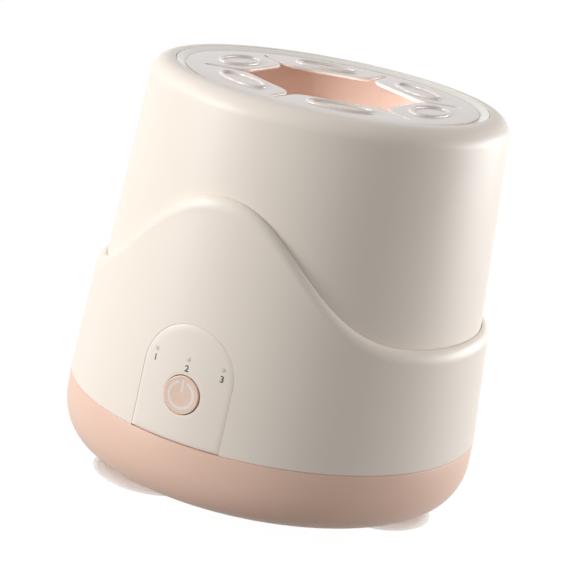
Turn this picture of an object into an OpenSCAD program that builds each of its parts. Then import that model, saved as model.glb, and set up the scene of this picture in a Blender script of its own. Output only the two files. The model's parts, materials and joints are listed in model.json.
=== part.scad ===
// Automatic shaker for a feeding bottle. The head, with the bottle in its cup, turns to and fro on a
// spindle inside a fixed base. The origin is on the table under the spindle, +Z is up and the front,
// with the power button, faces -Y. All sizes are in millimetres and degrees.

/* [Overall] */
// Outer diameter at the seam between the pan and the lower shell
base_d = 140; // [136:1:160]
// Height of the rim above the table
overall_h = 136.5; // [132:0.5:165]
// Height of the seam above the table
seam_h = 26.5; // [25:0.5:30]
// Height of the underside of the pan above the table
foot_h = 5; // [4.5:0.5:7]

/* [Pan] */
// Wall of the pan
pan_wall = 2.4; // [1.8:0.1:3]
// Height of the rounded lower edge
pan_edge_h = 13.4; // [8:0.2:15]
// Width of the rounded lower edge
pan_edge_w = 9.4; // [6:0.2:10.4]

/* [Lower shell] */
// Wall of the low part of the lip
lip_wall = 2.2; // [1.8:0.1:3]
// Draft of the outside
lower_draft = 4.35; // [3.8:0.05:4.8]
// Height of the low part of the lip
lip_h = 66.2; // [63:0.2:72]
// Rise of the crest above the low part of the lip
crest_rise = 39; // [10:1:46]
// Angle from the middle of the crest to its steepest flank, or close to it
crest_spread = 24.5; // [18:0.5:32]
// Shape of the crest: 2 gives a plain bell, and more gives a broader top with steeper flanks
crest_power = 2.3; // [2:0.1:3]
// Height of the rounding on the outer edge of the lip
lip_round = 5; // [1:0.2:6]
// Radial gap between the lip and the turning head
run_gap = 0.55; // [0.4:0.05:1]

/* [Upper shell] */
// Wall of the upper shell
head_wall = 2.2; // [1.6:0.1:2.8]
// Draft of the outside
head_draft = 3.66; // [3:0.05:4.2]
// Radius of the rounded shoulder
shoulder_r = 6.35; // [4:0.25:8]
// Depth that the upper shell reaches down behind the lip
lip_overlap = 6.4; // [4:0.2:9]
// Thickness of the ledge that carries the cup
ledge_t = 2.2; // [1.6:0.1:3]

/* [Bottle cup] */
// Distance from the ridge of the rim to the inside of the cup
cup_inset = 7.8; // [6.4:0.1:8.2]
// Wall of the cup
cup_wall = 2; // [1.6:0.1:2.4]
// Draft of the cup
cup_draft = 1.5; // [0.5:0.1:2]
// Thickness of the floor
cup_floor = 2.5; // [2:0.1:4]
// Thickness of the flange at the top
cup_flange_t = 2.4; // [1.8:0.1:3.5]
// Thickness of the soft pad on the floor
pad_t = 1.5; // [1:0.1:3]

/* [Grip disc] */
// Thickness of the silicone
disc_t = 1.2; // [1.2:0.1:2.4]
// Depth of the disc below the rim
disc_recess = 0.8; // [0.6:0.1:1.4]
// Width of the mouth between opposite petals
mouth_w = 49.2; // [44:0.2:56]
// Width of a slit
slit_w = 1.2; // [0.8:0.1:2]
// Distance from the inside of the cup to the outer end of a slit
slit_inset = 3.3; // [3:0.1:4]
// Distance from the inside of the cup to a petal's bending line
hinge_inset = 4.5; // [4.2:0.1:5]
// Distance from an end of the bending line to the middle of the slit beside it
hinge_margin = 5.9; // [5.5:0.1:8]
// Radius of the corners at a petal's tip
petal_corner_r = 6.2; // [2:0.1:7]
// Length of a petal that the oval on it leaves free
oval_margin = 5.2; // [4.3:0.1:8]
// Length of the oval as a multiple of its width
oval_ratio = 1.74; // [1.2:0.02:1.84]
// Height of the oval's bead
oval_h = 0.5; // [0.3:0.1:0.8]
// Distance from the ridge of the rim to the inside of the clamp ring
ring_inset = 4.5; // [4.1:0.1:5.5]

/* [Control panel] */
// Width of the panel
panel_w = 32; // [31:0.5:36]
// Height of the top of the arch above the table
panel_top_h = 64.4; // [60:0.2:70]
// Thickness of the panel
panel_t = 1.4; // [1:0.1:1.5]
// Diameter of the power button
button_d = 12.4; // [10:0.2:14]
// Height of the middle of the button above the table
button_h = 41.9; // [40:0.1:44]
// Height of the button above the panel
button_proud = 0.5; // [0.2:0.1:1]
// Travel of the button
button_travel = 0.8; // [0.4:0.1:1.2]
// Spacing of the indicator lights
lamp_pitch = 12; // [9:0.5:12.5]
// Height of the indicator lights above the button
lamp_rise = 11.6; // [10:0.1:12.5]
// Diameter of a light guide
lamp_d = 1.8; // [1.2:0.1:2.2]

/* [Drive] */
// Module of the first gear stage
module_1 = 0.8; // [0.7:0.05:0.9]
// Teeth of the motor pinion
pinion_teeth = 12; // [12:1:15]
// Teeth of the idler's large gear
idler_teeth = 48; // [44:1:52]
// Module of the second gear stage
module_2 = 1; // [0.9:0.05:1.1]
// Teeth of the idler's small gear
idler_pinion_teeth = 14; // [12:1:16]
// Teeth of the spindle gear
spindle_teeth = 46; // [44:1:52]
// Face width of the first stage
gear1_h = 4; // [3:0.5:6]
// Face width of the second stage
gear2_h = 4.5; // [3:0.5:7]
// Play between meshed teeth
backlash = 0.16; // [0.1:0.02:0.3]
// Diameter of the spindle
spindle_d = 8; // [6:0.5:10]
// Diameter of the idler pin
pin_d = 4; // [3:0.5:5]
// Diameter of the motor
motor_d = 24.4; // [20:0.2:26]
// Length of the motor
motor_l = 26; // [22:0.5:30]
// Diameter of the motor shaft
shaft_d = 2.3; // [2:0.1:3]
// Wall of a bearing bush
bush_wall = 2; // [1.5:0.1:3]
// Length of a bearing bush
bush_l = 8; // [6:0.5:9]
// Length of the bearing housing below the deck
housing_l = 20; // [19:0.5:22]
// Thickness of the chassis deck
deck_t = 2.5; // [2:0.1:4]
// Thickness of the turntable
turn_t = 3; // [2.5:0.1:5]

/* [Electrics] */
// Diameter of the battery cell
cell_d = 18.4; // [16:0.2:19]
// Length of the battery cell
cell_l = 65; // [50:1:67]
// Thickness of the circuit boards
board_t = 1.6; // [1:0.1:2]
// Width of the charge socket
socket_w = 9; // [8:0.1:10]
// Height of the charge socket
socket_h = 3.3; // [3:0.1:3.6]

/* [Feet and screws] */
// Radius of a suction foot at the table
foot_r = 20; // [15:0.5:22]
// Distance from the seam inwards to the edge of a foot
foot_inset = 6.5; // [4:0.5:10]
// Thread diameter of the screws
screw_d = 3; // [2.5:0.1:3.5]

/* [Hidden] */
$fn = 64;

// Colours
cream = [0.95, 0.92, 0.87];
pink = [0.93, 0.79, 0.71];
silicone_grey = [0.83, 0.81, 0.80];
silicone_clear = [0.92, 0.88, 0.85];
steel = [0.72, 0.73, 0.75];
bronze = [0.72, 0.55, 0.33];
acetal = [0.93, 0.93, 0.90];
board_green = [0.13, 0.40, 0.26];
dark_plastic = [0.20, 0.20, 0.22];
wrap_blue = [0.25, 0.45, 0.62];
led_yellow = [0.95, 0.90, 0.65];
guide_clear = [0.97, 0.95, 0.92];

// Clearances
fit_gap = 0.2;          // between pieces that are assembled by hand
seat_gap = 0.02;        // round a pressed or moulded-in piece
shaft_gap = 0.05;       // radial, round a turning shaft
end_play = 0.2;         // axial, at a turning piece
part_gap = 0.15;        // round the inset panel
moving_gap = 0.35;      // between a petal and its ring
cut = 1;                // how far a cutting shape runs past what it cuts

// Heights, from the table upwards
floor_z = foot_h + pan_wall;
motor_clear = 2.1;
deck_z = floor_z + motor_clear + motor_l;
deck_top = deck_z + deck_t;
washer_t = 0.6;
hub_z = deck_top + washer_t + end_play / 2;
gear1_z = deck_top + 1.5;
gear1_top = gear1_z + gear1_h;
gear2_z = gear1_top + 1.2;
gear2_top = gear2_z + gear2_h;
idler_top = gear2_top + 0.5;
clip_t = 0.8;
clip_z = idler_top + end_play;
pin_z = deck_z - 4;
pin_top = clip_z + clip_t + 0.6;
turn_z = pin_top + 1.2;
turn_top = turn_z + turn_t;
cup_boss_h = 3.2;
cup_fillet = 4;
cup_z = turn_top + cup_boss_h;
cup_floor_z = cup_z + cup_floor;
disc_top = overall_h - disc_recess;
disc_z = disc_top - disc_t;
disc_margin_t = 0.7;
margin_top = disc_z + disc_margin_t;
flange_z = disc_z - cup_flange_t;
ledge_z = flange_z - ledge_t;
shell_z = lip_h - lip_overlap;
shoulder_z = overall_h - shoulder_r;
crest_h = lip_h + crest_rise;

// Radii of the shells, which depend on the height
seam_r = base_d / 2;
function lower_r(z) = seam_r - tan(lower_draft) * (z - seam_h);
function head_r(z) = lower_r(lip_h) - lip_wall - run_gap + tan(head_draft) * (lip_h - z);
function bore_r(z) = head_r(z) + run_gap;
function cup_in_r(z) = cup_r - tan(cup_draft) * (disc_z - z);
function cup_out_r(z) = cup_in_r(z) + cup_wall;

// Height of the lip at an angle from the front, from -180 to 180
function lip_z(a) = lip_h + crest_rise * exp(-pow(abs(a) / crest_spread, crest_power) / 2);

// Ring on the pan that centres the lower shell
pan_lip_top = seam_h + 2.6;
pan_lip_out = bore_r(pan_lip_top) - fit_gap;
pan_lip_in = pan_lip_out - 1.5;
edge_cut = 0.35;

// Radii at the top of the head
ridge_r = head_r(shoulder_z) - shoulder_r / cos(head_draft);
rim_flat = 1.2;
rim_r = ridge_r - rim_flat;
rim_t = 2;
cup_r = ridge_r - cup_inset;
ring_in_r = ridge_r - ring_inset;
ring_out_r = rim_r - 0.3;
ring_leg_t = 0.95;
snap_z = flange_z + 1.5;
snap_depth = 0.4;
snap_half = 0.45;
flange_r = ring_out_r - ring_leg_t - fit_gap;
ledge_r = cup_out_r(disc_z) + 0.4;

// Gear train seen from above, with the idler behind the spindle
pressure_angle = 25;
tooth_root = 1.25;
gear_rim = 2.5;
idler_y = module_2 * (idler_pinion_teeth + spindle_teeth) / 2;
idler_at = [0, idler_y];
motor_turn = -20;
motor_reach = module_1 * (pinion_teeth + idler_teeth) / 2;
motor_at = idler_at + motor_reach * [cos(motor_turn), sin(motor_turn)];
spindle_r = spindle_d / 2;
bush_r = spindle_r + shaft_gap + bush_wall;
housing_r = bush_r + 2.5;
housing_z = deck_z - housing_l;
clip_wall = 2.6;
pin_clip_wall = 1.8;
groove_depth = 0.6;
spindle_clip_z = housing_z - end_play - clip_t;
spindle_z = spindle_clip_z - 1.4;
spindle_top = turn_top - 0.3;
hub_r = spindle_r + 4;
flat_depth = 0.8;
motor_screw_pitch = 16;

// Places of the screws, as angles from the front
base_screw_angles = [30, 150, 270];
base_screw_r = seam_r - 13.5;
chassis_screw_angles = [45, 135, 225, 315];
chassis_screw_r = bore_r(deck_top) - 6.2;
cup_screw_angles = [45, 135, 225, 315];
cup_screw_r = cup_out_r(cup_z) - 12;
ear_angles = [60, 180, 300];
ear_t = 2.6;
ear_z = cup_z + 2.3;
ear_inset = 7.3;
ear_r = head_r(ear_z) - head_wall - ear_inset;
shank_d = screw_d * 0.8;
head_ratio = 1.8;
boss_r = screw_d / 2 + 2;
pilot_r = screw_d / 2 - 0.2;
hole_r = screw_d / 2 + 0.2;
head_w = screw_d * head_ratio;
base_screw_seat_z = seam_h - 6.5;
sink_h = screw_d / 2;
small_screw_d = 1.9;
small_pilot_r = 1;
small_hole_r = 1.25;
hub_screw_d = 3.2;
motor_boss_r = 3;
motor_screw_d = 2.1;
motor_screw_points = [for (s = [-1, 1])
    motor_at + s * motor_screw_pitch / 2 * [-sin(motor_turn), cos(motor_turn)]];
boss_l = 12;
boss_end = 2;
rib_t = 2.4;
bite = 0.6;

// Feet
foot_angles = [-30, 90, 210];
foot_pitch_r = seam_r - foot_inset - foot_r;
foot_neck_r = 4.6;
foot_head_r = 6.4;
foot_head_t = 2.8;

// Petals
petal_angles = [30, 90, 150, 210, 270, 330];
petal_half = 30;
slit_along = [sin(petal_half), -cos(petal_half)];
slit_across = [-cos(petal_half), -sin(petal_half)];
slit_end_r = cup_r - slit_inset;
hinge_r = cup_r - hinge_inset;
hinge_l = 2 * (hinge_r * tan(petal_half) - hinge_margin);
oval_w = hinge_r - mouth_w / 2 - oval_margin;
oval_l = oval_w * oval_ratio;
side_corner_r = 1.2;
bead_r = disc_t / 2 - 0.1;
hinge_z = disc_z + disc_t / 2;

// Stack behind the panel, measured inwards from its face at the button
flange_in = panel_t + 1;
stem_in = flange_in + 2.2;
switch_in = stem_in + 1.9;
switch_side = 6;
switch_tall = 3.5;
board_in = switch_in + switch_tall;
plunger_d = 3.4;
plunger_hidden = 0.6;
switch_board_w = 28;
switch_board_low = 7.5;
switch_board_high = lamp_rise + 2.6;
post_x = 10;
led_t = 0.8;

// Battery and main board
tray_floor = 3.4;
tray_wall = 1.6;
tray_gap = 1;
cell_end_gap = 0.4;
tray_half_w = cell_d / 2 + tray_wall;
tray_half_l = cell_l / 2 + tray_wall + cell_end_gap;
tray_corner_r = seam_r - pan_edge_w - tray_gap;
cell_at_x = tray_half_w - sqrt(pow(tray_corner_r, 2) - pow(tray_half_l, 2));
cell_z = floor_z + tray_floor + cell_d / 2;
main_board_w = 26;
main_board_l = 24;
standoff_l = socket_h + 0.6;
main_board_z = deck_z - standoff_l - board_t;
socket_l = 10;
socket_z = main_board_z + board_t + socket_h / 2;
socket_face = lower_r(socket_z) - 0.7;
main_board_end = sqrt(pow(pan_lip_in - 3 * fit_gap, 2) - pow(main_board_w / 2, 2));
board_hole_in = 4;
board_hole_x = main_board_w / 2 - board_hole_in;
board_hole_y = main_board_end - main_board_l + board_hole_in;

// Moves children from the front to an angle and a distance from the spindle
module at_angle(a, r = 0) {
    rotate([0, 0, a]) translate([0, -r, 0]) children();
}

// Places children on the panel: the button's axis is +Z and the panel's upward direction is +Y
module on_panel() {
    translate([0, -lower_r(button_h), button_h]) rotate([90 - lower_draft, 0, 0]) children();
}

// Points along an arc
function arc(c, rx, ry, a0, a1, n) =
    [for (i = [0:n]) c + [rx * cos(a0 + (a1 - a0) * i / n), ry * sin(a0 + (a1 - a0) * i / n)]];

function unit(v) = v / norm(v);

// Points that round the corner c of an outline, between its neighbours p and n
function corner(p, c, n, r, steps = 6) =
    r == 0 ? [c] :
    let (u = unit(p - c), v = unit(n - c), half = acos(u * v) / 2,
         m = c + unit(u + v) * r / sin(half), s = c + u * r / tan(half) - m,
         e = c + v * r / tan(half) - m, a = atan2(s[1], s[0]),
         turn = (atan2(e[1], e[0]) - a + 900) % 360 - 180)
    [for (i = [0:steps]) m + r * [cos(a + turn * i / steps), sin(a + turn * i / steps)]];

// An outline with its corners rounded, each by its own radius
function rounded(p, r) =
    let (n = len(p))
    [for (i = [0:n - 1]) each corner(p[(i + n - 1) % n], p[i], p[(i + 1) % n], r[i])];

// Ring of round section, square ends: a tube with a bore
module tube(r_out, r_in, h) {
    difference() {
        cylinder(r = r_out, h = h);
        translate([0, 0, -cut]) cylinder(r = r_in, h = h + 2 * cut);
    }
}

// A machine screw with its head's underside at z = 0 and its shank downwards
module screw(d, l) {
    head_h = d * 0.65;
    slot = [d * 1.2, d * 0.22, d];
    translate([0, 0, -l]) cylinder(d = d, h = l);
    difference() {
        cylinder(d = d * head_ratio, h = head_h);
        for (a = [0, 90])
            rotate([0, 0, a]) translate([-slot[0] / 2, -slot[1] / 2, head_h / 2]) cube(slot);
    }
}

// A countersunk screw with its flat face at z = 0 and its shank downwards
module flat_screw(d, l) {
    head_h = d * 0.4;
    slot = [d, d * 0.22, d];
    difference() {
        rotate_extrude()
            polygon([[0, -l], [d / 2, -l], [d / 2, -head_h], [d * head_ratio / 2, 0], [0, 0]]);
        for (a = [0, 90])
            rotate([0, 0, a]) translate([-slot[0] / 2, -slot[1] / 2, -head_h / 2]) cube(slot);
    }
}

// A spring clip for a groove
module clip(r_in, r_out, t) {
    difference() {
        tube(r_out, r_in, t);
        translate([-r_in * 0.7, 0, -cut]) cube([r_in * 1.4, r_out + cut, t + 2 * cut]);
        for (s = [-1, 1])
            translate([s * r_in * 1.1, -r_in * 1.1, -cut]) cylinder(r = r_in * 0.35, h = t + 2 * cut);
    }
}

// Angle in degrees that an involute has turned through at radius r from its base circle
function involute(base_r, r) =
    let (a = acos(min(1, base_r / r)))
    tan(a) * 180 / PI - a;

// Half of a tooth's angle at radius r
function tooth_half(m, n, r) =
    let (pitch_r = m * n / 2, base_r = pitch_r * cos(pressure_angle))
    90 / n - backlash / 4 / pitch_r * 180 / PI
    + involute(base_r, pitch_r) - involute(base_r, max(r, base_r));

// Outline of a spur gear with a tooth centred on +X
module gear_outline(m, n, steps = 4) {
    pitch_r = m * n / 2;
    root_r = pitch_r - tooth_root * m;
    start_r = max(root_r, pitch_r * cos(pressure_angle));
    tip_r = pitch_r + m;
    flank = concat(start_r > root_r ? [root_r] : [],
                   [for (i = [0:steps]) start_r + (tip_r - start_r) * i / steps]);
    last = len(flank) - 1;
    polygon([for (k = [0:n - 1])
        each concat(
            [for (i = [0:last]) let (r = flank[i], a = k * 360 / n - tooth_half(m, n, r))
                r * [cos(a), sin(a)]],
            [for (i = [0:last]) let (r = flank[last - i], a = k * 360 / n + tooth_half(m, n, r))
                r * [cos(a), sin(a)]])]);
}

// Round outline with a flat on its +Y side
module d_outline(r) {
    difference() {
        circle(r = r);
        translate([-r, r - flat_depth]) square([2 * r, flat_depth + cut]);
    }
}

// Outline with two round ends, lying along X
module slot_outline(w, h) {
    translate([-(w - h) / 2, -h / 2]) square([w - h, h]);
    for (s = [-1, 1])
        translate([s * (w - h) / 2, 0]) circle(d = h);
}

// Outline of the pan, drawn in by a distance
function pan_outline(inset) =
    let (flat_r = seam_r - pan_edge_w, edge_z = foot_h + pan_edge_h)
    concat([[0, foot_h + inset]],
           arc([flat_r, edge_z], pan_edge_w - inset, pan_edge_h - inset, -90, 0, 18),
           [[seam_r - inset, seam_h], [0, seam_h]]);

// Ring inside the seam that centres the lower shell
module pan_lip() {
    root_h = 6.5;
    slope_h = 3;
    wall_r = seam_r - pan_wall + fit_gap;
    polygon([[wall_r, seam_h - root_h], [pan_lip_in, seam_h - root_h + slope_h],
             [pan_lip_in, pan_lip_top], [pan_lip_out, pan_lip_top], [pan_lip_out, seam_h], [wall_r, seam_h]]);
}

module base_pan() {
    well_wall = 1.8;
    head_gap = 0.4;
    pad_w = 2.2;
    color(pink) difference() {
        union() {
            rotate_extrude() difference() {
                polygon(pan_outline(0));
                polygon(pan_outline(pan_wall));
                polygon([[seam_r, seam_h - edge_cut], [seam_r + cut, seam_h - edge_cut],
                         [seam_r + cut, seam_h + cut], [seam_r - edge_cut, seam_h + cut],
                         [seam_r - edge_cut, seam_h]]);
            }
            rotate_extrude() pan_lip();
            for (a = base_screw_angles)
                at_angle(a, base_screw_r) translate([0, 0, foot_h])
                    cylinder(r = head_w / 2 + well_wall, h = seam_h - foot_h);
            for (a = foot_angles)
                at_angle(a, foot_pitch_r) translate([0, 0, foot_h])
                    cylinder(r = foot_head_r + pad_w, h = pan_wall);
        }
        for (a = base_screw_angles)
            at_angle(a, base_screw_r) {
                translate([0, 0, foot_h - cut])
                    cylinder(r = head_w / 2 + head_gap, h = base_screw_seat_z - foot_h + cut);
                translate([0, 0, foot_h]) cylinder(r = hole_r, h = seam_h);
            }
        for (a = foot_angles)
            at_angle(a, foot_pitch_r) translate([0, 0, foot_h - cut])
                cylinder(r = foot_neck_r + seat_gap, h = pan_wall + 2 * cut);
        translate([-socket_w / 2 - cut, 0, seam_h]) cube([socket_w + 2 * cut, seam_r, pan_lip_top]);
    }
}

// Fall of the lip's rounding at a share of the wall, from its inner edge
function drop(t) = lip_round * (1 - sqrt(1 - t * t));

// Everything above the lip: a ring whose underside follows the wavy edge. The underside falls away
// outwards along a quarter ellipse that is a little wider than the wall
module above_lip() {
    steps = 96;
    reach = [0.08, 0.35, 0.6, 0.8, 0.9];
    over = 1.06;
    run_in = 3;
    run_out = 0.6;
    last = reach[len(reach) - 1];
    end_drop = drop(last) + run_out * lip_round * last / sqrt(1 - last * last);
    top_z = crest_h + 4;
    section = [for (i = [0:steps - 1])
        let (a = -180 + i * 360 / steps, z = lip_z(a), r_in = bore_r(z),
             wide = (lower_r(z - lip_round) - r_in) * over, r_out = r_in + wide * (last + run_out),
             pts = concat([[r_in - run_in, z]],
                          [for (t = reach) [r_in + wide * t, z - drop(t)]],
                          [[r_out, z - end_drop], [r_out, top_z], [r_in - run_in, top_z]]))
        [for (p = pts) [p[0] * sin(a), -p[0] * cos(a), p[1]]]];
    n = len(section[0]);
    polyhedron([for (s = section) each s],
               [for (i = [0:steps - 1], j = [0:n - 1])
                   let (k = (i + 1) % steps, l = (j + 1) % n)
                   each [[i * n + j, i * n + l, k * n + l], [i * n + j, k * n + l, k * n + j]]]);
}

// Arch of the panel as seen from the front, grown by a gap, as a prism towards -Y
module panel_prism(gap, low) {
    half = panel_w / 2 + gap;
    rotate([90, 0, 0]) linear_extrude(base_d) union() {
        translate([-half, low]) square([2 * half, panel_top_h - panel_w / 2 - low]);
        translate([0, panel_top_h - panel_w / 2]) circle(r = half);
    }
}

// Outer layer of the lower shell, down to a depth
module lower_layer(depth, over) {
    z0 = seam_h - cut;
    z1 = panel_top_h + 2;
    rotate_extrude() polygon([[lower_r(z0) - depth, z0], [lower_r(z0) + over, z0],
                              [lower_r(z1) + over, z1], [lower_r(z1) - depth, z1]]);
}

// Pillar inside the lower shell, tied to the wall by a rib that starts at rib_z
module wall_boss(r, z0, z1, rib_z) {
    reach = bore_r(rib_z) + bite;
    difference() {
        union() {
            translate([0, -r, z0]) cylinder(r = boss_r, h = z1 - z0);
            translate([-rib_t / 2, -reach, rib_z]) cube([rib_t, reach - r, z1 - rib_z]);
        }
        translate([0, -r, z0 - cut]) cylinder(r = pilot_r, h = z1 - z0 - boss_end + cut);
    }
}

module lower_shell() {
    top = crest_h + 2;
    window_gap = 1.5;
    window_w = 2 * lamp_pitch + lamp_d + 2;
    window_z = button_h - switch_board_low - window_gap;
    window_top = button_h + switch_board_high + window_gap;
    boss_top = seam_h + 9;
    low_rib_z = pan_lip_top + 0.8;
    deck_rib_z = deck_top + 0.4;
    color(cream) difference() {
        union() {
            rotate_extrude() polygon([[bore_r(seam_h), seam_h], [lower_r(seam_h) - edge_cut, seam_h],
                                      [lower_r(seam_h), seam_h + edge_cut], [lower_r(top), top],
                                      [bore_r(top), top]]);
            for (a = base_screw_angles)
                rotate([0, 0, a]) wall_boss(base_screw_r, seam_h, boss_top, low_rib_z);
            for (a = chassis_screw_angles)
                rotate([0, 0, a]) wall_boss(chassis_screw_r, deck_top, deck_top + boss_l, deck_rib_z);
        }
        above_lip();
        intersection() {
            lower_layer(panel_t + part_gap, cut);
            panel_prism(part_gap, seam_h - cut);
        }
        translate([-window_w / 2, -base_d, window_z]) cube([window_w, base_d, window_top - window_z]);
        translate([0, 0, socket_z]) rotate([-90, 0, 0])
            linear_extrude(base_d) slot_outline(socket_w + 2 * fit_gap, socket_h + 2 * fit_gap);
    }
}

module control_panel() {
    low_gap = 0.5;
    post_r = 2.4;
    post_hole_l = 6;
    sag = post_x * post_x / base_d;
    color(cream) difference() {
        union() {
            intersection() {
                lower_layer(panel_t, 0);
                panel_prism(0, seam_h + low_gap);
            }
            for (x = [-post_x, post_x])
                on_panel() translate([x, 0, -board_in])
                    cylinder(r = post_r, h = board_in - sag - panel_t / 2);
        }
        on_panel() translate([0, 0, -flange_in]) cylinder(d = button_d + fit_gap, h = flange_in + cut);
        for (x = [-lamp_pitch, 0, lamp_pitch])
            on_panel() translate([x, lamp_rise, -board_in])
                cylinder(d = lamp_d + fit_gap, h = board_in + cut);
        for (x = [-post_x, post_x])
            on_panel() translate([x, 0, -board_in - cut]) cylinder(r = small_pilot_r, h = post_hole_l + cut);
    }
}

module suction_feet() {
    rim_w = 1.4;
    rim_h = 0.5;
    collar_r = 8;
    dome_r = collar_r + 2;
    dome_z = foot_h - 0.8;
    hollow_z = dome_z - 1.8;
    head_top = floor_z + foot_head_t;
    steps = 8;
    bell = concat([[foot_r, 0], [foot_r, rim_h]],
                  [for (i = [1:steps]) let (t = i / steps)
                      [foot_r - (foot_r - dome_r) * t, rim_h + (dome_z - rim_h) * sin(90 * t)]],
                  [[collar_r, dome_z], [collar_r, foot_h], [foot_neck_r, foot_h],
                   [foot_neck_r, floor_z], [foot_head_r, floor_z], [foot_head_r, floor_z + 1],
                   [foot_neck_r, head_top], [0, head_top], [0, hollow_z]],
                  [for (i = [1:steps]) let (t = i / steps)
                      [(foot_r - rim_w) * sin(90 * t), hollow_z * (1 - t * t)]]);
    color(silicone_clear)
        for (a = foot_angles)
            at_angle(a, foot_pitch_r) rotate_extrude() polygon(bell);
}

module base_screws() {
    base_screw_l = 13;
    color(steel)
        for (a = base_screw_angles)
            at_angle(a, base_screw_r) translate([0, 0, base_screw_seat_z])
                mirror([0, 0, 1]) screw(shank_d, base_screw_l);
}

// Deck that carries the motor, the gears and the spindle's bearing
module chassis() {
    deck_r = bore_r(deck_z) - 1.2;
    notch_w = switch_board_w + 4;
    notch_y = lower_r(button_h) - board_in - 7;
    gusset_l = 22;
    gusset_h = 10;
    standoff_r = 2.6;
    pin_wall = 2.5;
    clear_r = boss_r + 1;
    color(dark_plastic) difference() {
        union() {
            translate([0, 0, deck_z]) cylinder(r = deck_r, h = deck_t);
            translate([0, 0, housing_z]) cylinder(r = housing_r, h = housing_l);
            for (a = [45, 225, 315])
                rotate([0, 0, a]) translate([rib_t / 2, 0, deck_z]) rotate([90, 0, -90]) linear_extrude(rib_t)
                    polygon([[housing_r - bite, bite], [housing_r + gusset_l, bite],
                             [housing_r - bite, -gusset_h]]);
            translate([idler_at[0], idler_at[1], pin_z])
                cylinder(d = pin_d + 2 * pin_wall, h = gear1_z - end_play - pin_z);
            for (x = [-board_hole_x, board_hole_x])
                translate([x, board_hole_y, deck_z - standoff_l]) cylinder(r = standoff_r, h = standoff_l);
        }
        translate([0, 0, housing_z - cut]) cylinder(r = bush_r + seat_gap, h = housing_l + deck_t + 2 * cut);
        translate([idler_at[0], idler_at[1], pin_z - cut])
            cylinder(d = pin_d + 2 * seat_gap, h = gear1_z - pin_z + cut);
        translate([motor_at[0], motor_at[1], deck_z - cut])
            cylinder(r = motor_boss_r + fit_gap, h = deck_t + 2 * cut);
        for (p = motor_screw_points)
            translate([p[0], p[1], deck_z - cut]) cylinder(d = motor_screw_d + fit_gap, h = deck_t + 2 * cut);
        for (x = [-board_hole_x, board_hole_x])
            translate([x, board_hole_y, deck_z - standoff_l - cut])
                cylinder(r = small_pilot_r, h = standoff_l + cut);
        translate([-notch_w / 2, -base_d - notch_y, deck_z - cut]) cube([notch_w, base_d, deck_t + 2 * cut]);
        for (a = base_screw_angles)
            at_angle(a, base_screw_r) translate([0, 0, deck_z - cut]) {
                cylinder(r = clear_r, h = deck_t + 2 * cut);
                translate([-clear_r, -base_d, 0]) cube([2 * clear_r, base_d, deck_t + 2 * cut]);
            }
        for (a = chassis_screw_angles)
            at_angle(a, chassis_screw_r) translate([0, 0, deck_z - cut])
                cylinder(r = hole_r, h = deck_t + 2 * cut);
    }
}

module chassis_screws() {
    chassis_screw_l = 9;
    color(steel)
        for (a = chassis_screw_angles)
            at_angle(a, chassis_screw_r) translate([0, 0, deck_z])
                mirror([0, 0, 1]) screw(shank_d, chassis_screw_l);
}

// The motor hangs under the deck on two screws, set square to the line to the idler
module motor_can() {
    motor_r = motor_d / 2;
    boss_h = deck_t - 0.4;
    shaft_depth = 9;
    thread_l = 4;
    step_h = 4;
    step_w = 1.6;
    edge = 0.8;
    tag = [2, 0.5, 2];
    tag_at = 7;
    low = deck_z - motor_l;
    color(steel) difference() {
        union() {
            translate([motor_at[0], motor_at[1], 0]) rotate_extrude()
                polygon([[0, low], [motor_r - step_w - edge, low], [motor_r - step_w, low + edge],
                         [motor_r - step_w, low + step_h], [motor_r, low + step_h],
                         [motor_r, deck_z - edge], [motor_r - edge, deck_z],
                         [motor_boss_r, deck_z], [motor_boss_r, deck_z + boss_h], [0, deck_z + boss_h]]);
            for (s = [-1, 1])
                translate([motor_at[0] + s * tag_at, motor_at[1], low - tag[2] / 2 + edge / 2])
                    cube(tag, center = true);
        }
        translate([motor_at[0], motor_at[1], deck_z - shaft_depth])
            cylinder(d = shaft_d + 2 * shaft_gap, h = shaft_depth + deck_t + cut);
        for (p = motor_screw_points)
            translate([p[0], p[1], deck_z - thread_l])
                cylinder(d = motor_screw_d + 2 * shaft_gap, h = thread_l + cut);
    }
}

module motor_screws() {
    hold_l = 3;
    color(steel)
        for (p = motor_screw_points)
            translate([p[0], p[1], deck_top]) screw(motor_screw_d, deck_t + hold_l);
}

module bush(z) {
    color(bronze) translate([0, 0, z]) tube(bush_r, spindle_r + shaft_gap, bush_l);
}

module upper_bush() {
    bush(deck_top - bush_l);
}

module lower_bush() {
    bush(housing_z);
}

module thrust_washer() {
    color(acetal) translate([0, 0, deck_top]) tube(hub_r, spindle_r + fit_gap, washer_t);
}

module idler_pin() {
    color(steel) translate([idler_at[0], idler_at[1], 0]) difference() {
        translate([0, 0, pin_z]) cylinder(d = pin_d, h = pin_top - pin_z);
        translate([0, 0, clip_z]) tube(pin_d, pin_d / 2 - groove_depth, clip_t);
    }
}

module idler_clip() {
    color(steel) translate([idler_at[0], idler_at[1], clip_z + seat_gap])
        clip(pin_d / 2 - groove_depth + seat_gap, pin_d / 2 + pin_clip_wall, clip_t - 2 * seat_gap);
}

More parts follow.
